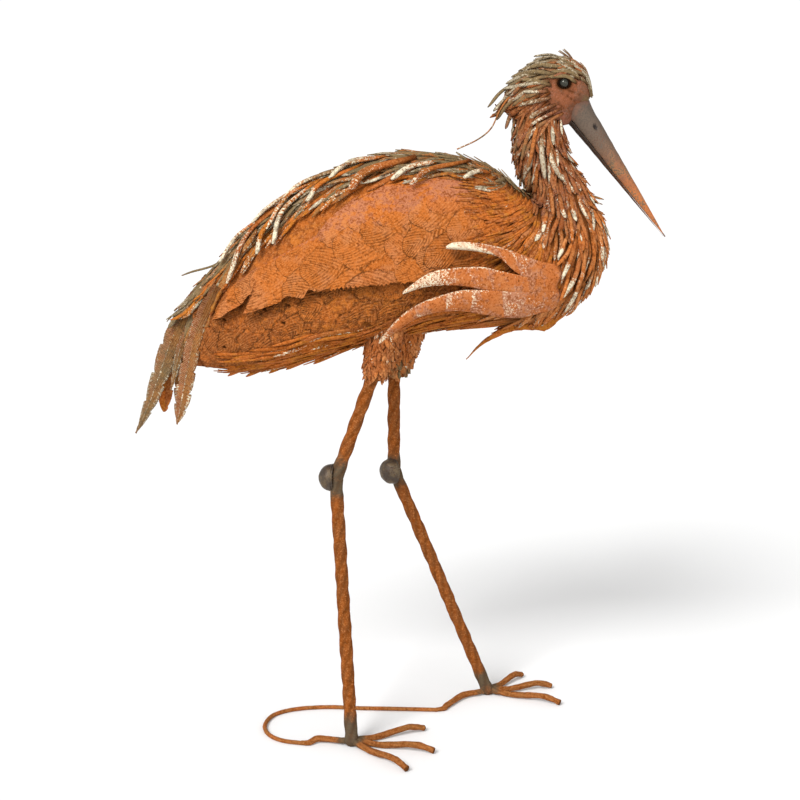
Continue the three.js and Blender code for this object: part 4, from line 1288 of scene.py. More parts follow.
def front_spikes(piece, rng):
    """Adds the loose ends that stand off the front of the neck, two for each row of the table."""
    share = np.linspace(0, 1, STRIP_ROWS)
    for (x, z), (tip_x, tip_z) in FRONT_SPIKES:
        for across in (-7, 3):
            y = across + rng.uniform(-3, 3)
            path = np.array([(x - 8, y, z + 12), (x, y, z), (tip_x, y, tip_z)]) + (0, 0, rng.uniform(-5, 5))
            facing = unit([0.8, 0.1 * across, 0.6])
            strip(piece, spline(path, share), facing, 5.0, 0.4, SHEET, 0.1,
                  tone=rng.uniform(0, 1), shade=rng.uniform(0.1, 0.7))


def shoulder_strips():
    """Fine strips that fan back from the root of the neck to the front edge of each wing."""
    rng = np.random.default_rng(51)
    piece = Piece()
    for side in SIDES.values():
        s, a = scatter(body, (4.85, 6.7), (0.3, 2.2), 9, 4.4, rng)
        length = rng.uniform(34, 58, len(s))
        laid = combed(rng, body, s, a * side, length, 1.0, (3.2, 5.6), 0.1, (3.6, 6.2), rows=7)
        painted = some(rng, len(s), 0.02, 0.3)
        plume(piece, *laid, rng, painted, arch=0.45, blunt=(0.02, 0.3), root_shade=0.9, bloomed=0.6)
    piece.make("shoulder_strips", "rust on feather strips", "rust_sheet", "neck_and_breast")


# Wings


def wing(side, name):
    """One wing: a sheet draped over the flank, hammered with lapped feathers, with a toothed edge.

    Each column goes from a place on the upper edge to one on the lower edge in the side view, and
    its lift over the flank grows from one to the other. The lower edge is notched in slanted teeth.
    """
    rng = np.random.default_rng(61)
    u, v = np.meshgrid(np.linspace(0, 1, 400), np.linspace(0, 1, 92), indexing="ij")
    top, low = edge_line(WING_TOP, u), edge_line(WING_LOW, u)
    deep = 1.0 + 3.6 * ease(u, 0.42, 0.5) * (1 - ease(u, 0.74, 0.8))
    teeth = deep * ((u * 62) % 1.0) * ease(u, 0.0, 0.03) * (0.6 + 0.4 * np.sin(u * 61 + 2 * np.sin(u * 17)))
    low = low - np.stack([0.7 * teeth, teeth], -1)
    flat = top + (low - top) * v[..., None]
    x, z = flat[..., 0], flat[..., 1]
    curl = 1.0 + 0.16 * np.sin(u * 24) * ease(u, 0.2, 0.4)
    close = 1 - 0.85 * ease(x, 30, 100)
    near, far = WING_LIFT
    lift = near + (far * curl * close - near) * v**0.8
    roots, ways, sizes = feather_field(
        (-250, 130), (600, 790), 44, 29,
        lambda px, pz: np.pi + 0.2 + 0.25 * np.sin(px / 47 + pz / 30), (66, 23), rng,
    )
    for root, tip, half in PRIMARIES:
        way = np.array(tip, float) - root
        roots.insert(0, root)
        ways.insert(0, np.arctan2(way[1], way[0]))
        sizes.insert(0, (np.hypot(*way), half))
    height, barb, cut, tone, strong = lapped(x, z, roots, ways, sizes, 5.8, 7)
    slope = 0.24 * (x + 40)
    smooth = np.maximum(ease(z, 700 + slope, 742 + slope), 1 - ease(v, 0.02, 0.14))
    height = height * (1 - 0.75 * smooth) + 0.45 * ripple(np.stack([x, 0 * x, z], -1), 34, 19)
    outer, _ = on_flank(x, z, lift + 1.2 + height * 0.95, side)
    share = np.linspace(0, 1, 7)
    back = top[:, :1] + (low[:, :1] - top[:, :1]) * share[:, None]
    inner, _ = on_flank(back[..., 0], back[..., 1], near + (far * close[:, :1] - near) * share, side)
    # Painted shade where the plume's fingers lie over the front of the wing
    split = ease(x, 55, 80) * (1 - ease(x, 108, 120)) * (1 - ease(z, 686, 702))
    marks = {
        "barb": barb, "vein": (1 - smooth) * strong, "cut": cut * (1 - 0.6 * smooth), "tone": tone,
        "covered": 0.45 * split, "bloomed": 1.4 * smooth - 0.5,
    }
    for key, value in marks.items():
        # The inner face, towards the body, gets painted shade
        marks[key] = np.append(value, np.full(inner.shape[:2], 0.7 if key == "cut" else 0.0))
    piece = Piece().add(*sheet(outer, inner), **marks)
    piece.make("wing_sheet_" + name, "rust on barbed sheet", "rust_sheet", "wing_" + name)


# Ribbons, bars and turned forms


def ribbon(path, facing, half, arch, thick, rows, columns, teeth=None, rib=0.6, wave=0.0, seed=1):
    """A long feather: a sheet along a curve, arched across, with a raised rib down its middle.

    The sheet faces a given way. A point at share c across stands c times the half width to the
    side and falls back by the arch times c^2. The rib is a bell curve 1.5 mm wide that fades to
    the tip. teeth moves the two edges inwards by a share of the half width. Returns points, faces,
    and on the points the share along, the share across and the count of barbs.
    """
    line = spline(path, np.linspace(0, 1, rows))
    along = unit(np.gradient(line, axis=0))
    side = unit(np.cross(along, unit(facing)))
    out = unit(np.cross(side, along))[:, None]
    t, c = np.meshgrid(np.linspace(0, 1, rows), np.linspace(-1, 1, columns), indexing="ij")
    width = half(t)
    across = c * width * (1 - (teeth(t, c) if teeth else 0))
    middles = line[:, None] + side[:, None] * across[..., None]
    rise = rib * bell(across, 1.5) * (1 - 0.6 * t) - arch * c**2 * width + wave * ripple(middles, 28, seed)
    points, faces = sheet(*(middles + out * (rise + wall)[..., None] for wall in (thick / 2, -thick / 2)))
    barb = (t * run_along(line)[-1] - 1.2 * np.abs(across) + 0.01 * across**2) / 3.2 + 40
    return points, faces, *(np.tile(value.ravel(), 2) for value in (t, c, barb))


# The rings that close a bar: their share of its thickness, and how far out they stand
BAR_DOME = ((0.86, 0.224), (0.5, 0.35))


def bar(path, radius, rows, columns, square, turns, lumps, grain, seed, spare=(0, 0, 1)):
    """A forged bar along a path: its radius swells four times round, on edges that wind along it.

    radius(t) is half its thickness. To it come square times the cosine of four times the angle
    less the winding, and smooth lumps. Both ends close in a dome of two rings. Returns points,
    faces, and on the points the share along and how deep between two edges they are.
    """
    t = np.linspace(0, 1, rows)
    line = spline(path, t)
    along = unit(np.gradient(line, axis=0))
    side = unit(np.cross(spare, along))
    up = unit(np.cross(along, side))
    angle = np.linspace(0, TAU, columns, endpoint=False)[None]
    wound = angle - turns * TAU * t[:, None]
    size = radius(t)[:, None] * (1 + square * np.cos(4 * wound))
    ring = side[:, None] * np.cos(angle)[..., None] + up[:, None] * np.sin(angle)[..., None]
    points = line[:, None] + ring * size[..., None]
    points = points + ring * (lumps * ripple(points, grain, seed))[..., None]
    caps = []
    for end, way in ((0, -1), (-1, 1)):
        bulge = along[end] * way * radius(t)[end]
        spokes = points[end] - line[end]
        caps.append([line[end] + spokes * share + bulge * out for share, out in BAR_DOME])
    points = np.concatenate([caps[0][::-1], points, caps[1]])
    poles = [points[0].mean(0), points[-1].mean(0)]
    run = np.append(np.repeat([0, 0, *t, 1, 1], columns), (0, 1))
    between = 0.5 - 0.5 * np.cos(4 * wound)
    between = np.append(np.concatenate([between[:2], between, between[-2:]]), (0, 0))
    return np.concatenate([points.reshape(-1, 3), poles]), pole_faces(rows + 4, columns), run, between


def turned(profile, at, axis, columns, dents=0.0, grain=12, seed=1):
    """A form turned about an axis from (radius, height) pairs, closed by a fan at both ends."""
    profile = np.asarray(profile, float)
    axis = unit(axis)
    side = unit(np.cross((0, 0, 1) if abs(axis[2]) < 0.9 else (1, 0, 0), axis))
    up = np.cross(axis, side)
    angle = np.linspace(0, TAU, columns, endpoint=False)[:, None]
    ring = np.cos(angle) * side + np.sin(angle) * up
    points = np.asarray(at, float) + profile[:, None, :1] * ring[None] + profile[:, None, 1:] * axis
    outwards = unit(points - points.mean((0, 1)))
    points = points + outwards * (dents * ripple(points, grain, seed))[..., None]
    poles = [points[0].mean(0), points[-1].mean(0)]
    return np.concatenate([points.reshape(-1, 3), poles]), pole_faces(len(profile), columns)


# Wing plumes: one sheet cut into three curved fingers

# Each finger in the side view, from its root to its tip: [x, z] on its upper edge and its lower edge.
# Neighbours share an edge as far as the cut between them.
FINGERS = {
    "upper": (
        [(219, 668), (190, 672), (172, 676.5), (142, 687), (116, 694), (87, 699), (66, 698.5), (57, 694.5)],
        [(219, 652), (190, 652.5), (172, 654.5), (156, 658), (142, 666), (124, 680), (95, 688), (57, 691.5)],
    ),
    "middle": (
        [(219, 652), (183, 653), (156, 658), (123, 665), (100, 669.6), (63, 668.5), (33, 662), (2, 641.5)],
        [(219, 636), (183, 638), (157, 639.5), (132, 641.3), (107, 643.5), (75, 649), (33, 648),
         (1.5, 638.5)],
    ),
    "lower": (
        [(219, 636), (170, 638.7), (132, 641.3), (107, 643.3), (72, 643), (25, 630), (-7, 611), (-31, 584)],
        [(219, 618), (171, 613), (137, 613.5), (109, 617.3), (70, 622), (29, 617), (1, 604), (-32, 582)],
    ),
}

# Brushed patches on each finger: where it ends sharply, how far it fades towards the root, strength
PLUME_PATCHES = {
    "upper": [(0.44, 0.14, 0.6), (0.605, 0.03, 1.0), (0.8, 0.1, 0.9)],
    "middle": [(0.34, 0.12, 0.4), (0.52, 0.03, 0.6), (0.64, 0.05, 0.55), (0.8, 0.08, 0.75)],
    "lower": [(0.30, 0.16, 0.8), (0.50, 0.04, 0.7), (0.62, 0.035, 0.95), (0.75, 0.035, 0.9)],
}

# On each finger, from what share the tip is brushed and how much of all its paint is left
PLUME_TIPS = {"upper": (0.62, 0.95), "middle": (0.66, 0.7), "lower": (0.86, 0.95)}
PLUME_ROOT = 219


def wing_plume(side, name):
    """One wing plume: a root under the breast strips, which parts into three tapering fingers.

    A finger is ruled between its two edges and is draped over the flank. Its lift eases in away
    from the root, which sinks under the breast with a wavy edge, and it is arched across by
    1 - c^2 once it is clear of its neighbours. Paint is brushed on in patches that start sharp and
    fade towards the root.
    """
    piece = Piece()
    t, c = np.meshgrid(np.linspace(0, 1, 120), np.linspace(-1, 1, 17), indexing="ij")
    for key, (upper, lower) in FINGERS.items():
        flat = spline(upper, t) * ((1 - c) / 2)[..., None] + spline(lower, t) * ((1 + c) / 2)[..., None]
        x, z = flat[..., 0], flat[..., 1]
        sunk = 1 - ease(PLUME_ROOT - x + 4 * np.sin(z / 4.5), 0, 14)
        lift = 8 - 13 * sunk + 13 * ease(PLUME_ROOT - x, 0, 85) - 3 * ease(t, 0.85, 1.0)
        centre, normal = on_flank(x, z, lift + 3.2 * ease(t, 0.3, 0.6) * (1 - c**2), side)
        centre = centre + normal * (0.35 * ripple(centre, 30, 4))[..., None]
        tip, left = PLUME_TIPS[key]
        coat = 0.95 * ease(t, tip - 0.02, tip + 0.2)
        worn = 0.6 + 0.4 * ripple(centre, 34, 9)
        dull = 0 * t
        for end, fade, strength in PLUME_PATCHES[key]:
            faded = np.exp(-np.maximum(end - t, 0) / fade)
            patch = strength * (1 - ease(t, end - 0.003, end + 0.003)) * faded
            coat = np.maximum(coat, patch * worn)
            dull = np.maximum(dull, patch)
        rim = 0.55 * ease(-c, 0.72, 0.95) * ease(t, 0.3, 0.5)
        coat = np.clip(np.maximum(coat * left, rim), 0, 1)
        dull = 2.2 * dull * (1 - ease(t, tip, tip + 0.15))
        points, faces = sheet(centre + normal * 0.8, centre - normal * 0.8)
        piece.add(points, faces, tone=0.3, paint=np.tile(coat.ravel(), 2), bloomed=np.tile(dull.ravel(), 2))
    piece.make("plume_sheet_" + name, "rust on plume", "rust_sheet", "wing_plume_" + name)


# Head

# The lie of the feathers on the head, in the side view
HEAD_LIE = np.array([
    (256, 912, -0.3, 0.95), (245, 934, -0.75, 0.66), (225, 946, -1, 0.15), (198, 945, -1, -0.15),
    (170, 933, -0.85, -0.5), (150, 912, -0.65, -0.75), (202, 915, -1, 0.0), (177, 908, -0.97, -0.25),
    (157, 893, -0.75, -0.65), (225, 890, -0.9, -0.3), (204, 886, -0.85, -0.5), (184, 880, -0.75, -0.65),
    (218, 872, -0.7, -0.7), (198, 868, -0.5, -0.85), (240, 925, -0.8, 0.4), (225, 928, -1, 0.1),
])


def eye_centre(side):
    """The middle of an eye."""
    return np.array([EYE_AT[0], EYE_AT[1] * side, EYE_AT[2]])


# Creases of the face in the side view, from and to
CREASES = [
    ((212, 900), (196, 896)), ((214, 893), (236, 884)), ((222, 896), (243, 893)), ((206, 882), (222, 872)),
]


def crease(points, first, last):
    """A wavy line between two places in the side view: a bell curve across, faded at both ends."""
    first, last = np.array(first, float), np.array(last, float)
    long = np.linalg.norm(last - first)
    way = (last - first) / long
    gap = points[..., ::2] - first
    run = gap @ way
    off = gap[..., 0] * way[1] - gap[..., 1] * way[0] + 0.8 * np.sin(run / 4)
    return bell(off, 0.9) * ease(run, -2, 3) * (1 - ease(run, long - 4, long))


def head_shell():
    """The head: a smooth shell with a sunk socket, a brow, lids and creases on each side.

    Each of them is a bell curve of the distance to its middle. The front sinks in round the
    root of the beak. Painted shade darkens the creases, a ring round each socket, the lid slit, the
    corner of the mouth, and the back of the head under its strips.
    """
    points, normal = raised(head, *rings(0.0, 1.0, 80, 84), -0.5)
    for side in SIDES.values():
        near = np.linalg.norm(points - eye_centre(side), axis=-1)
        brow = np.linalg.norm(points - (eye_centre(side) + (2, 0, 13)), axis=-1)
        dent = 1.8 * bell(near - 12, 3.5) - 3.4 * bell(near, 8.5)
        points = points + normal * (dent + 1.6 * bell(brow, 9))[..., None]
    mouth = np.linalg.norm((points - BEAK_ROOT - (1, 0, -1)) * (1, 0.4, 1), axis=-1)
    dent = 0.45 * ripple(points, 16, 12) - 7.5 * np.exp(-((mouth / 16) ** 4))
    points = points + normal * dent[..., None]
    shaded_band = np.max([crease(points, *ends) for ends in CREASES], 0)
    # dark is painted shade: in the creases, round each eye socket, along the lid slit and at the corner of
    # the mouth
    dark = 0.9 * shaded_band
    for side in SIDES.values():
        away = points - eye_centre(side)
        ahead = np.abs(away[..., 0])
        ring = np.linalg.norm(away, axis=-1)
        ring = ring * (1 - 0.22 * ahead / (ring + 1))
        slit = bell(away[..., 2] - 0.0035 * ahead**2 + 0.5, 1.1) * (ahead < 17) * (ring < 16)
        dark = np.maximum(dark, np.maximum(bell(ring - 7.2, 3.0), slit))
    gape = np.linalg.norm((points - (234, 0, 866)) * (1, 0.1, 1), axis=-1)
    bridge = np.linalg.norm((points - (250, 0, 884)) * (1, 0.3, 1), axis=-1)
    dark = np.maximum(dark, 0.8 * bell(gape, 8))
    x, z = points[..., 0], points[..., 2]
    capped(
        points - normal * (1.3 * shaded_band)[..., None],
        tone=1 - ease(z, 864, 876),
        # Painted shade at the back of the head, under its strips, and wherever dark is
        covered=np.maximum(0.5 * (1 - ease(x, 180, 200)), 0.85 * dark),
        shade=np.maximum(0.8 * ease(z, 922, 930), 0.5 * bell(bridge, 13)),
        bloomed=0.3 + 0.8 * ease(x, 225, 245),
    ).make("head_shell", "rust on face", "rust_sheet", "head")


# Single strips over the head: [x, z] at root, middle and tip in the side view, the width, how much
# paint is on it, from what share of the way, and the weathering
HEAD_SPRIGS = [
    ((198, 910), (170, 906), (139, 901), 6.5, 0.8, 0.15, 0.7),
    ((196, 896), (179, 896), (163, 896), 5.0, 0.9, 0.3, 0.4),
    ((200, 888), (179, 883), (158, 878), 6.0, 0.45, 0.1, 0.5),
    ((207, 879), (179, 866), (155, 843), 6.5, 0.5, 0.1, 0.45),
    ((215, 874), (183, 858), (153, 835), 5.0, 0.85, 0.3, 0.3),
    ((206, 864), (181, 848), (168, 831), 6.5, 0.8, 0.45, 0.35),
    ((198, 854), (176, 831), (164, 808), 7.0, 0.1, 0.5, 0.45),
    ((218, 868), (200, 858), (186, 838), 5.5, 0.2, 0.5, 0.2),
    ((236, 914), (212, 928), (189, 930), 6.5, 0.25, 0.2, 0.9),
    ((238, 912), (230, 923), (210, 934), 5.0, 0.55, 0.2, 0.9),
    ((200, 904), (173, 912), (148, 911), 6.5, 0.2, 0.5, 0.8),
    ((207, 918), (178, 922), (150, 917), 6.5, 0.35, 0.4, 0.85),
    ((216, 925), (191, 931), (160, 925), 6.0, 0.3, 0.4, 0.9),
    ((161, 899), (141, 888), (127, 872), 5.0, 0.6, 0.2, 0.7),
    ((158, 892), (142, 877), (131, 860), 5.0, 0.3, 0.6, 0.6),
    ((152, 909), (134, 895), (119, 877), 4.5, 0.2, 0.5, 0.85),
    ((234, 908), (219, 916), (196, 915), 6.5, 0.0, 0.5, 0.95),
    ((240, 913), (224, 922), (200, 922), 7.0, 0.1, 0.5, 0.95),
    ((164, 884), (150, 868), (143, 848), 5.5, 0.3, 0.6, 0.5),
    ((188, 920), (165, 918), (143, 908), 5.5, 0.7, 0.3, 0.75),
]

# The same over the crown, without the share of the way, and the groups in which they are laid on each
# side: how far out, and how many of them
CROWN_SPRIGS = [
    ((257, 894), (247, 923), (222, 937), 6.5, 0.9, 0.9),
    ((253, 911), (238, 934), (210, 941), 6.0, 0.85, 0.9),
    ((258, 896), (252, 918), (236, 934), 6.0, 0.85, 0.9),
    ((222, 934), (198, 939), (170, 930), 6.0, 0.75, 0.9),
    ((205, 941), (184, 937), (160, 921), 6.0, 0.6, 0.9),
    ((232, 932), (205, 944), (180, 941), 6.0, 0.7, 0.9),
    ((240, 926), (227, 940), (213, 948), 2.4, 0.1, 0.6),
    ((237, 931), (228, 943), (219, 950), 2.2, 0.1, 0.6),
]
CROWN_GROUPS = ((8.0, 6), (1.5, 8), (12.5, 3))
HEAD_MIDDLE = (205.0, 0, 898)


def head_strips():
    """Strips swept back over the crown and the cheeks to loose ends behind the nape."""
    rng = np.random.default_rng(71)
    piece = Piece()
    s, a = scatter(head, (0.12, 0.99), (-1.1, 1.1), 10, 4.6, rng)
    count = len(s)
    length = rng.uniform(26, 42, count)
    laid = combed(rng, head, s, a, length, 0.4, (1.2, 5.0), 0.14, (4.0, 6.4), table=HEAD_LIE)
    painted = some(rng, count, 0.6, 0.35, 0.8)
    plume(piece, *laid, rng, painted, blunt=(0.02, 0.3), rim=0.5, root_shade=0.9,
          shade=rng.uniform(0.15, 1, count), bloomed=rng.uniform(0, 1.5, count))
    for side in SIDES.values():
        s, a = scatter(head, (0.03, 0.52), (1.1, 2.8), 9, 5.4, rng)
        count = len(s)
        length = rng.uniform(28, 42, count)
        laid = combed(rng, head, s, a * side, length, 0.4, (1.5, 4.0), 0.12, (4.6, 7), table=HEAD_LIE)
        painted = some(rng, count, 0.2, 0.4, 0.8)
        shade = (0.15 + 0.5 * ease(-np.abs(a), -1.9, -1.3)) * rng.uniform(0.1, 1, count)
        plume(piece, *laid, rng, painted, blunt=(0.02, 0.3), rim=0.4, root_shade=0.75,
              shade=shade, bloomed=rng.uniform(0, 1.5, count))
        placed(piece, HEAD_SPRIGS, side, (2.0, 5.0), rng)
        crown_sprigs(piece, side, rng)
    piece.make("head_strips", "rust on head strips", "rust_sheet", "head")


def crown_sprigs(piece, side, rng):
    """Adds the strips over the crown, which face away from the middle of the head."""
    share = np.linspace(0, 1, 12)
    for shift, many in CROWN_GROUPS:
        lift = np.array([0.5, 1.5, 3.0]) * (1.0 if shift < 5 else 0.3) - 0.035 * shift**2
        for *places, width, paint, weather in CROWN_SPRIGS[:many]:
            x, z = np.array(places, float).T
            centre = spline(np.stack([x, side * (shift + 2.5 * np.arange(3)), z + lift], -1), share)
            strip(piece, centre, unit(centre - HEAD_MIDDLE), 1.1 * width, 0.5, 1.1, 0.15,
                  tone=rng.uniform(0, 1), paint=brushed(0.8 * paint, (1, 0.05, 0.4)), shade=weather)


BEAK_ROOT = np.array([239.0, 0.0, 873.0])
BEAK_TIP = np.array([364.0, 0.0, 703.0])
BEAK_LONG = 211
BEAK_DEEP = 19.0
BEAK_WIDE = 13.5
BEAK_SPLIT = -0.74

# The nostril's share along the beak and its angle, and its half length and half height
NOSTRIL = (0.155, 1.17)
NOSTRIL_SIZE = (3.9, 2.1)


def beak():
    """The beak: two halves of a long cone, the upper one with a nostril pierced on each side.

    A section is an ellipse that shrinks from root to tip as (1 - t)^0.92 and is made flat where
    the halves part. The nostril is a dent by a bell curve in the place along and the angle. The
    nostrils, the whole lower half and the top of the upper half get painted shade.
    """
    axis = BEAK_TIP - BEAK_ROOT
    rise = unit([-axis[2], 0, axis[0]])
    aside = np.array([0, 1.0, 0])
    turn = np.arccos(BEAK_SPLIT)
    across_cut = np.linspace(0, 1, 11)[1:-1]
    for half in ("upper", "lower"):
        upper = half == "upper"
        angle = np.linspace(-turn, turn, 44) if upper else np.linspace(turn, TAU - turn, 26)
        t = np.linspace(-0.12, 1 if upper else 0.985, 120)[:, None]
        size = np.maximum(0.05, np.clip(1 - t, 0, 1.12) ** 0.92) * (1 + 0.12 * bell(t + 0.03, 0.06))
        high, wide = BEAK_DEEP * size * np.cos(angle), BEAK_WIDE * size * np.sin(angle)
        high, wide = (
            np.concatenate([v, v[:, -1:] + (v[:, :1] - v[:, -1:]) * across_cut], 1) for v in (high, wide)
        )
        if not upper:
            high, wide = high - 0.9, wide * 0.9
        angles = np.append(angle, np.full(len(across_cut), np.pi if upper else 0.0))
        out = rise * np.cos(angles)[:, None] + aside * np.sin(angles)[:, None]
        hole = 0 * high
        for side in SIDES.values() if upper else ():
            l = (t - NOSTRIL[0]) * BEAK_LONG / NOSTRIL_SIZE[0]
            w = (angles - side * NOSTRIL[1]) * 16 / NOSTRIL_SIZE[1]
            hole = hole + np.exp(-((l**2 + w**2) ** 1.5))
        points = BEAK_ROOT + axis * t[..., None] + rise * high[..., None] + aside * wide[..., None]
        points = points + out * (0.35 * ripple(points, 22, 15) * size - 3.4 * hole)[..., None]
        run = np.append(np.broadcast_to(t, hole.shape), (0, 1))
        # Painted shade in the nostrils and over all of the lower half, and along the top of the upper half
        cut = ease(hole, 0.06, 0.3) if upper else 0.7
        piece = capped(points, along=run, cut=cut, covered=bell(angles, 0.75) + 0 * t)
        piece.make("beak_sheath_" + half, "beak iron", "beak_iron" if upper else "rust_bar", "beak_" + half)


EYE_RADIUS = 6.2


def eyes():
    """Each eye: a polished ball in a beaten rim, an oval ring with a round section."""
    for name, side in SIDES.items():
        centre = eye_centre(side)
        turn = np.linspace(0.04, np.pi - 0.04, 26)
        ball = EYE_RADIUS * np.stack([np.sin(turn), -np.cos(turn)], -1)
        points, faces = turned(ball, centre, (0, side, 0), 44)
        Piece().add(points, faces).make("eye_ball_" + name, "eye steel", "eye_steel", "eye_" + name)
        angle, loop = rings(0, TAU * 47 / 48, 48, 14)
        reach = 6.9 + 1.1 * np.cos(loop)
        depth = side * (1.6 + 1.2 * np.sin(loop))
        rim = np.stack([1.16 * reach * np.cos(angle), depth, 0.92 * reach * np.sin(angle)], -1) + centre
        rim = rim + (0.25 * ripple(rim, 6, 3))[..., None]
        # The rim is all painted shade: the dark socket round the ball
        piece = Piece().add(rim, [grid_faces(48, 14, wrap=True, loop=True)], covered=1.0)
        piece.make("eye_rim_" + name, "black eye rim", "bare_iron", "eye_" + name)


# Crest, breast plume and tail

# Loose feathers: [x, y, z] from root to tip
CREST = [(162, -6, 899), (146, -7, 889), (134, -8, 872), (123, -8, 849), (105, -8, 834), (77, -8, 821)]
BREAST_FEATHER = [
    (226, -11, 602), (207, -14, 587), (190, -16, 581), (170, -18, 580.5), (151, -19, 578),
    (131, -21, 569.5), (111, -22, 556.5), (91, -24, 536.5),
]
TAIL_STRAY = [(-232, -3, 682), (-256, -3, 665), (-286, -3, 656), (-301, -3, 650)]


def crest_wire():
    """The crest plume: a thin strip from the nape to the back, which widens at its root."""
    points, faces, run, _, _ = ribbon(
        CREST, (-0.6, -0.1, 0.8), lambda t: 1.1 + 3.3 * (1 - ease(t, 0.05, 0.55)), 0.1, 1.7, 90, 9, rib=0.2
    )
    piece = Piece().add(points, faces, tone=0.3, shade=0.45, paint=0.35 * ease(run, 0.3, 0.6))
    piece.make("crest_wire", "rust on plain sheet", "rust_sheet", "crest_plume")


def breast_feather():
    """The drooping plume under the breast: broad at its root, kinked, and long in the point."""

    def half(t):
        body_half = 5.2 * np.clip(1 - ease(t, 0.6, 1.05) * 0.97, 0.1, 1)
        return body_half + 2.5 * (1 - ease(t, 0, 0.2)) + 5.5 * bell(t - 0.2, 0.075)

    points, faces, run, _, _ = ribbon(
        BREAST_FEATHER, (0.2, -1, -0.3), half, 0.12, 1.5, 100, 15,
        teeth=lambda t, c: 0.18 * ((t * 9) % 1) * (np.abs(c) > 0.9), rib=0.3, wave=0.6,
    )
    paint, shade = 0.2 * ease(run, 0.85, 1), 0.25 * ease(run, 0.4, 1.0)
    piece = Piece().add(points, faces, tone=0.75, paint=paint, shade=shade)
    piece.make("breast_feather", "rust on plain sheet", "rust_sheet", "breast_plume")


# The tail feathers: their way, whether they face the right side or the left, half the width, where
# they are widest, how blunt they end, the weathering and the paint
NEAR, FAR = (-0.2, -0.97, 0.1), (-0.2, 0.97, 0.1)
TAIL = {
    "long": (
        [(-262, -5, 648), (-291, -6, 606), (-316, -6, 562), (-334, -6, 515), (-352, -6, 468),
         (-371, -6, 429)], NEAR, 15.0, 0.42, 0.8, 0.65, 0.85,
    ),
    "broad": (
        [(-246, -52, 640), (-267, -47, 602), (-282, -42, 560), (-293, -36, 515), (-302, -32, 476),
         (-309, -28, 446)], NEAR, 12.5, 0.7, 0.8, 0.3, 0.75,
    ),
    "narrow": (
        [(-272, -17, 632), (-289, -17, 585), (-303, -17, 551), (-311, -17, 521), (-318, -17, 492)],
        NEAR, 6.5, 0.5, 0.8, 0.6, 0.9,
    ),
    "inner": (
        [(-268, 7, 640), (-300, 7, 590), (-324, 7, 530), (-333, 7, 457)], FAR, 12.5, 0.75, 0.45, 0.0, 0.0
    ),
    "far": (
        [(-250, 32, 622), (-286, 31, 585), (-302, 30, 530), (-318, 29, 468)], FAR, 13.0, 0.65, 0.45, 0.4, 0.3
    ),
}


def tail_feathers():
    """The feathers of the tail: notched and barbed, with brushed edges and a brushed rib.

    The half width swells by a quarter sine up to the widest place and closes by a power of the
    cosine after it. Slow deep notches and fine teeth bite into the edges.
    """
    for number, (name, (path, facing, half, widest, power, weather, paint)) in enumerate(TAIL.items()):

        def outline(t):
            swell = 0.55 + 0.45 * np.sin(np.clip(t / widest, 0, 1) * np.pi / 2)
            taper = np.cos(np.clip((t - widest) / (1 - widest), 0, 1) * np.pi / 2)
            return np.maximum(1.2, half * swell * np.maximum(taper, 0) ** power)

        def bites(t, c):
            slow = 0.32 * ((t * (6 + number) + 0.3 * (c > 0)) % 1) ** 5
            fine = 0.07 * ((t * 60 + 0.5 * (c > 0)) % 1)
            return (slow + fine) * ease(np.abs(c), 0.55, 1.0)

        points, faces, run, across, barb = ribbon(
            path, facing, outline, 0.15, 1.5, 200, 15, bites, rib=1.1, wave=0.5, seed=number
        )
        edge = np.abs(across)
        ticks = 0.55 + 0.45 * np.sign(np.sin(TAU * (44 * run - 1.2 * edge)))
        rim = ease(edge, 0.35, 0.9) * (0.4 * ease(run, 0.1, 0.3) + 0.6 * ease(run, 0.5, 0.7) * ticks)
        shaft = 0.75 * (edge < 0.12) * ease(run, 0.25, 0.55)
        piece = Piece().add(
            points, faces, tone=0.2 + 0.15 * number, barb=barb, vein=1.0,
            paint=paint * np.maximum(rim, shaft),
            shade=0.75 * weather * (0.5 + 0.5 * ease(run, 0.05, 0.6)),
            # Painted shade at the roots, where the strips over the rump lie on them
            covered=0.55 * (1 - ease(run, 0.0, 0.35)),
            bloomed=0.3 + 1.0 * (across > 0) - 0.6 * (across < 0),
        )
        look = "rust on plain sheet" if name == "inner" else "rust on tail feathers"
        piece.make("tail_blade_" + name, look, "rust_sheet", "tail_feather_" + name)


def tail_stray():
    """The strip that sticks out behind over the root of the tail."""
    points, faces, run, _, _ = ribbon(
        TAIL_STRAY, (-0.3, 0, 1), lambda t: 4.6 * np.sqrt(np.clip(1 - ease(t, 0.5, 1.02), 0.03, 1)),
        0.3, 1.5, 60, 9, rib=0.0,
    )
    piece = Piece().add(points, faces, tone=0.5, shade=0.8, paint=0.3 * ease(run, 0.8, 1))
    piece.make("tail_stray", "rust on plain sheet", "rust_sheet", "tail_strip_stray")


# Legs and feet

THIGHS = {
    "right": ((-14, -44, 596), (-35, -45, 511), 29.0, 11.5),
    "left": ((8, 44, 600), (-7, 45, 502), 36.0, 14.5),
}
DOWN = np.array([(0.0, 600.0, 0.0, -1.0)])


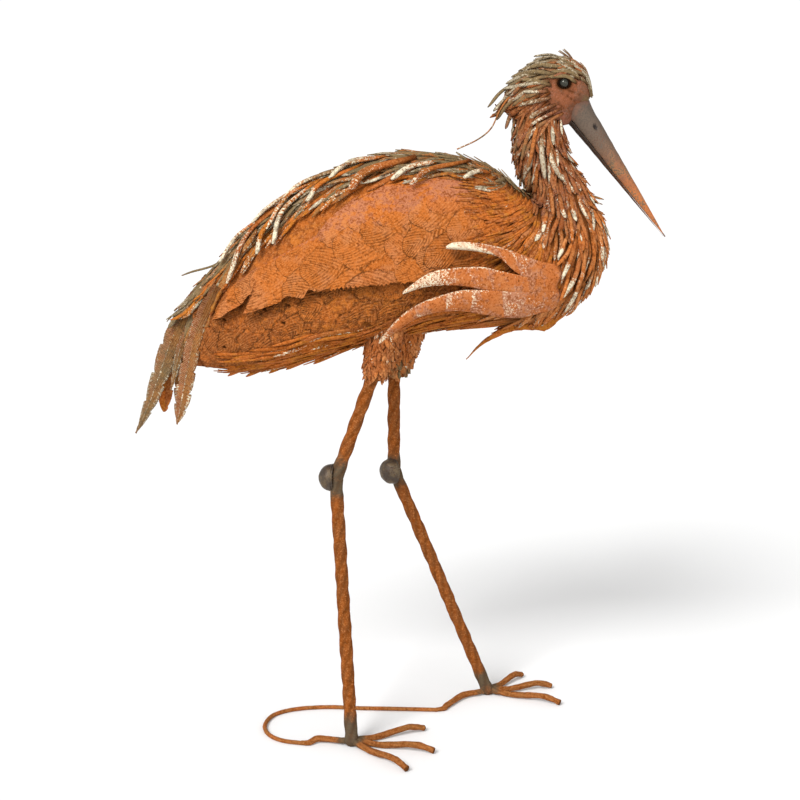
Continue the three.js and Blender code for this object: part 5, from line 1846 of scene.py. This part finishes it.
def thighs():
    """Each thigh: a cone from the belly to the leg, clothed in short ragged feathers.

    A ring at share t up has the radius narrow + (wide - narrow) t^0.8.
    """
    sizes = bpy.context.scene.stork_sizes
    for number, (name, (top, bottom, wide, narrow)) in enumerate(THIGHS.items()):
        bottom = np.array(bottom, float)
        axis = np.array(top, float) - bottom

        def cone(t, a):
            t, a = np.broadcast_arrays(np.asarray(t, float), np.asarray(a, float))
            radius = narrow + (wide - narrow) * np.maximum(t, 0) ** 0.8
            ring = np.stack([-np.cos(a), np.sin(a), 0 * a], -1)
            return bottom + axis * t[..., None] + ring * radius[..., None]

        rng = np.random.default_rng(81 + number)
        skin = cone(*rings(0, 1.05, 44, 60))
        # The cone under the strips is half in painted shade
        piece = capped(skin + (0.8 * ripple(skin, 14, 5))[..., None], covered=0.5)
        s, a = scatter(cone, (0.06, 1.12), (0, TAU), 6.5, 4.6, rng)
        count = len(s)
        length = rng.uniform(14, 28, count) * (0.55 + 0.45 * ease(s, 0.12, 0.4))
        lift = (0.4, rng.uniform(1.5, 6.0, count))
        lines, normals = traced(cone, s, a, length, rng.normal(0, 0.35, count), lift, DOWN, 6)
        width = rng.uniform(3.6, 7.2, count) * sizes.strip_width
        hem = (1 - ease(s, 0.15, 0.55)) * rng.uniform(0.3, 1, count) * (0.4 + 0.6 * number)
        painted = some(rng, count, 0.06, 0.4)
        bloomed = 1.8 * (1 - number) * rng.uniform(0.2, 1, count)
        plume(piece, lines, normals, width, rng, painted, arch=0.3, blunt=(0.02, 0.2), rim=0.3, root_shade=0.25,
              shade=hem, bloomed=bloomed)
        piece.make("thigh_feathers_" + name, "rust on breast strips", "rust_sheet", "thigh_" + name)


# Each leg: the top of its bar, the knee, the foot, where the knee's half ball sits from the knee, and
# the way that it faces
LEGS = {
    "right": ((-37, -45, 510.6), (-88, -60, 377), (-67.5, -88, 10.6), (-5, 4, 0), (-0.97, 0.24, 0)),
    "left": ((-8.5, 45, 499.6), (-9, 60, 361), (134, 96, 10.6), (-2, -7, 0), (-0.93, -0.37, 0)),
}
LEG_RADIUS = 8.8

# The two bars of a leg: their length and how often they are twisted
LEG_BARS = {"upper": (140, 1.1), "lower": (370, 2.7)}
FAR_OFF = 999
KNEE_RADIUS = 19.0
KNEE_LIP = [(0.5, -0.7), (0.2, -1.9), (-1.5, -2.2), (-15.0, -2.2)]


def legs():
    """Twisted leg bars, thicker at the knee and the foot, where they were upset and welded."""
    for number, (name, (top, knee, foot, seat, facing)) in enumerate(LEGS.items()):
        top, knee, foot = (np.array(place, float) for place in (top, knee, foot))
        upper, lower = np.linspace(top + (0, 0, 6), knee, 5), np.linspace(knee, foot + (0, 0, -4), 7)
        ways = {"upper": upper, "lower": lower}
        for part, (long, turns) in LEG_BARS.items():

            def ends(t):
                """How far places on the bar are from the knee and from the foot, in mm."""
                if part == "upper":
                    return (1 - t) * long, np.full_like(t, FAR_OFF)
                return t * long, (1 - t) * long

            def swell(t):
                from_knee, from_foot = ends(t)
                return LEG_RADIUS * (1 + 0.10 * bell(from_knee, 16) + 0.12 * bell(from_foot, 14))

            points, faces, run, between = bar(
                ways[part], swell, int(long / 2.4), 24, 0.065, turns, 0.35, 17, 20 + number, spare=(0, 1, 0)
            )
            from_knee, from_foot = ends(run)
            shade = 0.7 * np.maximum(1 - ease(from_knee, 8, 46), 1 - ease(from_foot, 16, 60))
            # Painted shade in the grooves between the twisted edges
            piece = Piece().add(points, faces, tone=0.45, shade=shade, covered=0.4 * between**2)
            piece.make(f"leg_bar_{part}_{name}", "rust on forged bar", "rust_bar", f"{part}_leg_{name}")
        knee_ball(name, knee + seat, unit(facing))


def knee_ball(name, centre, way):
    """A half ball with a lip and a flat back, and a knobbly weld bead round it."""
    turn = np.linspace(0.02, np.pi / 2, 22)
    dome = KNEE_RADIUS * np.stack([np.sin(turn), np.cos(turn)], -1)
    lip = np.array(KNEE_LIP) + (KNEE_RADIUS, 0)
    points, faces = turned(np.concatenate([dome, lip]), centre, way, 56, 0.35, 14, 31)
    angle = np.linspace(0, TAU, 90, endpoint=False)[:, None]
    around = np.cos(angle) * unit(np.cross(way, (0, 0, 1))) + np.sin(angle) * (0, 0, 1)
    line = centre - 2.6 * way + (KNEE_RADIUS - 2.2) * around
    ring = np.linspace(0, TAU, 10, endpoint=False)[:, None]
    fat = 1.5 * (1 + 0.35 * np.abs(np.sin(11 * angle)))[..., None]
    bead = line[:, None] + fat * (np.cos(ring) * unit(line - centre)[:, None] + np.sin(ring) * way)
    piece = Piece().add(points, faces, tone=0.2)
    piece.add(bead, [grid_faces(90, 10, wrap=True, loop=True)], tone=0.35)
    piece.make("knee_ball_" + name, "oiled iron", "bare_iron", "knee_" + name)


# Each foot on the ground: the hub and the tips of the front toes [x, y], and the way of the hind toe
# after it leaves the hub [x, y, z]
TOES = {
    "right": {"hub": (-67.5, -88), "inner": (34.5, -41), "middle": (46.5, -116), "outer": (9, -172),
              "hind": [(-113, -82, 7.2), (-128, -88, 3.6), (-138, -87.5, 3.1)]},
    "left": {"hub": (134, 96), "inner": (240, 51), "middle": (234, 117), "outer": (193, 162),
             "hind": [(95, 74, 6.6), (72, 44, 4.6), (65, 32, 3.6), (54, 28, 3.1)]},
}
TOE_RADIUS = 4.35

# The height of a front toe's middle line, by the share of the way: it rises to a knuckle
TOE_HEIGHTS = [(0.0, 7.5), (0.12, 6.2), (0.35, 5.4), (0.72, 10.4), (0.88, 8.6), (1.0, 4.6)]
HUB = [(5.5, 0.2), (7.2, 1.0), (8.8, 3.0), (9.6, 6), (9.6, 8.5), (8.8, 11), (6.8, 13), (4.0, 14.5)]

# Nothing goes lower than this over the ground
GROUND = 0.05


def feet():
    """Welded hubs and hammered toe bars, which rise to a knuckle and bend down at their trimmed ends."""
    for number, (name, toes) in enumerate(TOES.items()):
        hub = np.array([*toes["hub"], 0.0])
        points, faces = turned(HUB, hub, (0, 0, 1), 48)
        lumps = 0.7 * ripple(points, 9, 40 + number) * ease(points[:, 2], 0.3, 3)
        points = points + lumps[:, None] * unit(points - hub - (0, 0, 9))
        piece = Piece().add(points, faces, tone=0.4, shade=0.75, covered=0.25)
        piece.make("foot_weld_" + name, "rust on forged bar", "bare_iron", "foot_hub_" + name)
        for key in ("inner", "middle", "outer", "hind"):
            hind = key == "hind"
            if hind:
                heading = unit((np.array(toes[key][0]) - hub) * (1, 1, 0))
                path = [hub + heading * 3 + (0, 0, 7.0), hub + heading * 12 + (0, 0, 6.0), *toes[key]]
            else:
                tip = np.array([*toes[key], 0.0])
                start = hub + unit(tip - hub) * 4
                path = [start + (tip - start) * t + (0, 0, z) for t, z in TOE_HEIGHTS]
            path = np.array(path, float)
            long = run_along(path)[-1]

            def thick(t):
                """Stouter at the weld, even after it, and thinner at its end: the hind toe by far."""
                thinner = (0.3 if hind else 0.06) * ease(t, 0.7, 1)
                return TOE_RADIUS * (1.0 + 0.12 * (1 - ease(t, 0, 0.2)) - thinner)

            seed = 50 + number * 7 + len(key)
            rows = max(24, int(long / 1.9))
            points, faces, run, between = bar(path, thick, rows, 18, 0.06, long / 120, 0.35, 12, seed)
            points[:, 2] = np.maximum(points[:, 2], GROUND)
            shade = 0.75 * (1 - ease(run * long, 12, 42))
            dark_ends = 0.0 if hind else 0.8 * (run > 0.985)
            # Painted shade in the grooves between the twisted edges; the ends of the front toes are darker
            covered = np.maximum(0.3 * between, dark_ends)
            piece = Piece().add(points, faces, tone=0.4, shade=shade, covered=covered)
            piece.make(f"toe_bar_{key}_{name}", "rust on toe bar", "rust_bar", f"toe_{key}_{name}")


HOOP = [(55.6, 27.6), (0, 31), (-60, 34), (-104, 38), (-142, 34), (-170, 23), (-188, 5), (-195, -23),
        (-192, -47), (-180, -68), (-162, -81), (-136.5, -88)]
HOOP_RADIUS = 2.95


def hoop():
    """The round wire on the ground that joins the two hind toes."""
    path = [(x, y, HOOP_RADIUS + 0.1) for x, y in HOOP]
    points, faces, _, _ = bar(path, lambda t: HOOP_RADIUS + 0 * t, 220, 12, 0.0, 0.0, 0.12, 9, 77)
    points[:, 2] = np.maximum(points[:, 2], GROUND)
    piece = Piece().add(points, faces, tone=0.85, shade=0.2)
    piece.make("ground_wire", "rust on toe bar", "rust_bar", "ground_hoop")


# Operators and the panel


def share_of_usual(name, description):
    """A size that can be changed in the panel, as a share of the usual one."""
    return FloatProperty(
        name=name, description=description, default=1.0, min=0.2, max=2.0, subtype="FACTOR"
    )


class StorkSizes(bpy.types.PropertyGroup):
    strip_length: share_of_usual("Strip length", "Share of the usual strip length")
    strip_width: share_of_usual("Strip width", "Share of the usual strip width")


def colour(name, description, default):
    """A colour that can be changed in the panel."""
    return FloatVectorProperty(
        name=name, description=description, default=default, subtype="COLOR", size=3, min=0, max=1
    )


class StorkColours(bpy.types.PropertyGroup):
    orange: colour("Orange rust", "Main colour of the sheet", (0.43, 0.118, 0.020))
    deep: colour("Deep rust", "Darker clouds of rust", (0.20, 0.046, 0.004))
    pale: colour("Pale rust", "Dry powdery rust", (0.52, 0.21, 0.07))
    rosy: colour("Rosy rust", "Pinker patches of the wings", (0.43, 0.150, 0.050))
    bloom: colour("Bloom", "Purple-brown bloom", (0.22, 0.070, 0.027))
    ochre: colour("Ochre rust", "Yellow rust", (0.37, 0.128, 0.013))
    neck: colour("Neck rust", "Browner rust of the neck", (0.33, 0.125, 0.042))
    head: colour("Head rust", "Mauve-brown rust of the cheeks", (0.185, 0.078, 0.045))
    face: colour("Face", "Smooth reddish iron round the eyes", (0.225, 0.086, 0.045))
    tail: colour("Tail rust", "Ochre brown of the tail feathers", (0.29, 0.120, 0.036))
    olive: colour("Olive", "Light olive barbs of the tail", (0.36, 0.245, 0.105))
    mauve: colour("Mauve rust", "Pinkish bloom on the wings", (0.33, 0.125, 0.078))
    # Dark rust of the pits, also used as the colour of painted shade and painted shadow
    crust: colour("Crust", "Pits, grooves and covered roots", (0.055, 0.016, 0.002))
    bar: colour("Forged bar", "Brown rust of the legs", (0.320, 0.100, 0.026))
    toe: colour("Toe bar", "Yellower rust of the toes", (0.260, 0.105, 0.030))
    beak: colour("Beak", "Grey-brown root of the beak", (0.105, 0.070, 0.046))
    weather: colour("Weathered", "Olive grey patina", (0.20, 0.135, 0.062))
    bare: colour("Bare iron", "Bare dark iron", (0.065, 0.048, 0.035))
    cream: colour("Cream paint", "Dry-brushed paint", (0.66, 0.58, 0.42))
    silver: colour("Silver paint", "Thin grey paint", (0.34, 0.285, 0.20))
    eye: colour("Eye", "Dark polished steel of the eyes", (0.02, 0.022, 0.018))
    glint: colour("Eye clouds", "Paler clouds on the eyes", (0.07, 0.07, 0.055))


class STORK_OT_body(bpy.types.Operator):
    """Build the body shell with its hammered flanks"""

    bl_idname = "stork.body"
    bl_label = "Body shell"

    def execute(self, context):
        body_shell()
        return {"FINISHED"}


class STORK_OT_back(bpy.types.Operator):
    """Build the strips of the back and the belly"""

    bl_idname = "stork.back"
    bl_label = "Back and belly strips"

    def execute(self, context):
        back_strips()
        side_strips()
        covert_strips()
        belly_strips()
        return {"FINISHED"}


class STORK_OT_neck(bpy.types.Operator):
    """Build the neck, the breast and the shoulders"""

    bl_idname = "stork.neck"
    bl_label = "Neck and breast"

    def execute(self, context):
        neck_shell()
        neck_strips()
        shoulder_strips()
        return {"FINISHED"}


class STORK_OT_wings(bpy.types.Operator):
    """Build the two wing sheets"""

    bl_idname = "stork.wings"
    bl_label = "Wings"

    def execute(self, context):
        for name, side in SIDES.items():
            wing(side, name)
        return {"FINISHED"}


class STORK_OT_plumes(bpy.types.Operator):
    """Build the three-fingered plume over each wing"""

    bl_idname = "stork.plumes"
    bl_label = "Wing plumes"

    def execute(self, context):
        for name, side in SIDES.items():
            wing_plume(side, name)
        return {"FINISHED"}


class STORK_OT_head(bpy.types.Operator):
    """Build the head with its strips, beak and eyes"""

    bl_idname = "stork.head"
    bl_label = "Head, beak and eyes"

    def execute(self, context):
        head_shell()
        head_strips()
        beak()
        eyes()
        return {"FINISHED"}


class STORK_OT_loose(bpy.types.Operator):
    """Build the crest wire, the breast plume and the tail"""

    bl_idname = "stork.loose"
    bl_label = "Crest, breast plume and tail"

    def execute(self, context):
        crest_wire()
        breast_feather()
        tail_feathers()
        tail_stray()
        return {"FINISHED"}


class STORK_OT_legs(bpy.types.Operator):
    """Build the thighs, the leg bars and the knees"""

    bl_idname = "stork.legs"
    bl_label = "Legs"

    def execute(self, context):
        thighs()
        legs()
        return {"FINISHED"}


class STORK_OT_feet(bpy.types.Operator):
    """Build the feet and the wire on the ground"""

    bl_idname = "stork.feet"
    bl_label = "Feet and ground wire"

    def execute(self, context):
        feet()
        hoop()
        return {"FINISHED"}


class STORK_OT_stage(bpy.types.Operator):
    """Lay the pale floor, hang the soft lights and set up the camera"""

    bl_idname = "stork.stage"
    bl_label = "Floor, lights and camera"

    def execute(self, context):
        stage()
        return {"FINISHED"}


CAMERA_BACK = 1838.0
CAMERA_HIGH = 800.0
CAMERA_DOWN = 10.02
CAMERA_LENS = 59.85

# The lamps: the way that they stand from the bird, their strength, and how wide they look, in degrees
LAMPS = {"key": ((-0.6, -0.95, 0.95), 3.2, 24), "fill": ((0.55, -1.0, 0.25), 0.9, 60)}
FLOOR_REACH = 30.0


def stage():
    """A pale floor, a white surround, soft lights and the camera."""
    scene = bpy.context.scene
    mesh = bpy.data.meshes.new("floor")
    corners = [(x * FLOOR_REACH, y * FLOOR_REACH, 0) for x, y in ((-1, -1), (1, -1), (1, 1), (-1, 1))]
    mesh.from_pydata(corners, [], [(0, 1, 2, 3)])
    floor = bpy.data.objects.new("floor", mesh)
    scene.collection.objects.link(floor)
    f = Finish("pale floor")
    haze = f.noise(f.place(), 0.8, 2)
    mesh.materials.append(f.shade({
        "Base Color": f.blend((0.77, 0.77, 0.77), ((0.79, 0.79, 0.785), haze)),
        "Roughness": 0.9,
        "Specular IOR Level": 0.1,
    }))
    world_light(scene)
    for name, (way, strength, spread) in LAMPS.items():
        data = bpy.data.lights.new(name, "SUN")
        data.energy = strength
        data.angle = np.radians(spread)
        lamp = bpy.data.objects.new(name, data)
        scene.collection.objects.link(lamp)
        lamp.rotation_euler = aimed(way, (0, 0, 0))
    data = bpy.data.cameras.new("camera")
    data.lens = CAMERA_LENS
    data.sensor_width = 36
    camera = bpy.data.objects.new("camera", data)
    scene.collection.objects.link(camera)
    camera.location = (ORIGIN[0], ORIGIN[1] - CAMERA_BACK * MM, CAMERA_HIGH * MM)
    camera.rotation_euler = (np.radians(90 - CAMERA_DOWN), 0, 0)
    scene.camera = camera
    scene.view_settings.view_transform = "Standard"


def world_light(scene):
    """A white surround: bright behind the bird, softer overhead.

    The brightness goes by height of view: 1.04 up to nine degrees over the horizon, easing to 0.6
    by thirty degrees.
    """
    world = bpy.data.worlds.new("white studio")
    scene.world = world
    world.use_nodes = True
    tree = world.node_tree
    view = tree.nodes.new("ShaderNodeTexCoord")
    split = tree.nodes.new("ShaderNodeSeparateXYZ")
    tree.links.new(view.outputs["Generated"], split.inputs[0])
    fade = tree.nodes.new("ShaderNodeMapRange")
    fade.interpolation_type = "SMOOTHSTEP"
    for key, value in ((1, 0.15), (2, 0.5), (3, 1.04), (4, 0.6)):
        fade.inputs[key].default_value = value
    tree.links.new(split.outputs["Z"], fade.inputs[0])
    tree.links.new(fade.outputs[0], tree.nodes["Background"].inputs["Strength"])
    tree.nodes["Background"].inputs["Color"].default_value = (1, 1, 1, 1)


def aimed(place, aim):
    """The turn that points a lamp's -Z from a place to an aim: tilt about X, then turn about Z."""
    x, y, z = np.array(aim, float) - np.array(place, float)
    return (np.arctan2(np.hypot(x, y), -z), 0, np.arctan2(y, x) - np.pi / 2)


class STORK_PT_panel(bpy.types.Panel):
    bl_idname = "STORK_PT_panel"
    bl_label = "Iron Stork"
    bl_space_type = "VIEW_3D"
    bl_region_type = "UI"
    bl_category = "Iron Stork"

    def draw(self, context):
        for made in OPERATORS:
            self.layout.operator(made.bl_idname)
        for group in (context.scene.stork_sizes, context.scene.stork_colours):
            for key in group.__annotations__:
                self.layout.prop(group, key)


OPERATORS = [STORK_OT_body, STORK_OT_back, STORK_OT_neck, STORK_OT_wings, STORK_OT_plumes,
             STORK_OT_head, STORK_OT_loose, STORK_OT_legs, STORK_OT_feet, STORK_OT_stage]
CLASSES = [StorkSizes, StorkColours, *OPERATORS, STORK_PT_panel]


def register():
    for made in CLASSES:
        bpy.utils.register_class(made)
    bpy.types.Scene.stork_sizes = PointerProperty(type=StorkSizes)
    bpy.types.Scene.stork_colours = PointerProperty(type=StorkColours)


def unregister():
    del bpy.types.Scene.stork_sizes
    del bpy.types.Scene.stork_colours
    for made in reversed(CLASSES):
        bpy.utils.unregister_class(made)


def main():
    """Builds every piece in turn."""
    register()
    for made in OPERATORS:
        group, action = made.bl_idname.split(".")
        getattr(getattr(bpy.ops, group), action)()


if __name__ == "__main__":
    main()
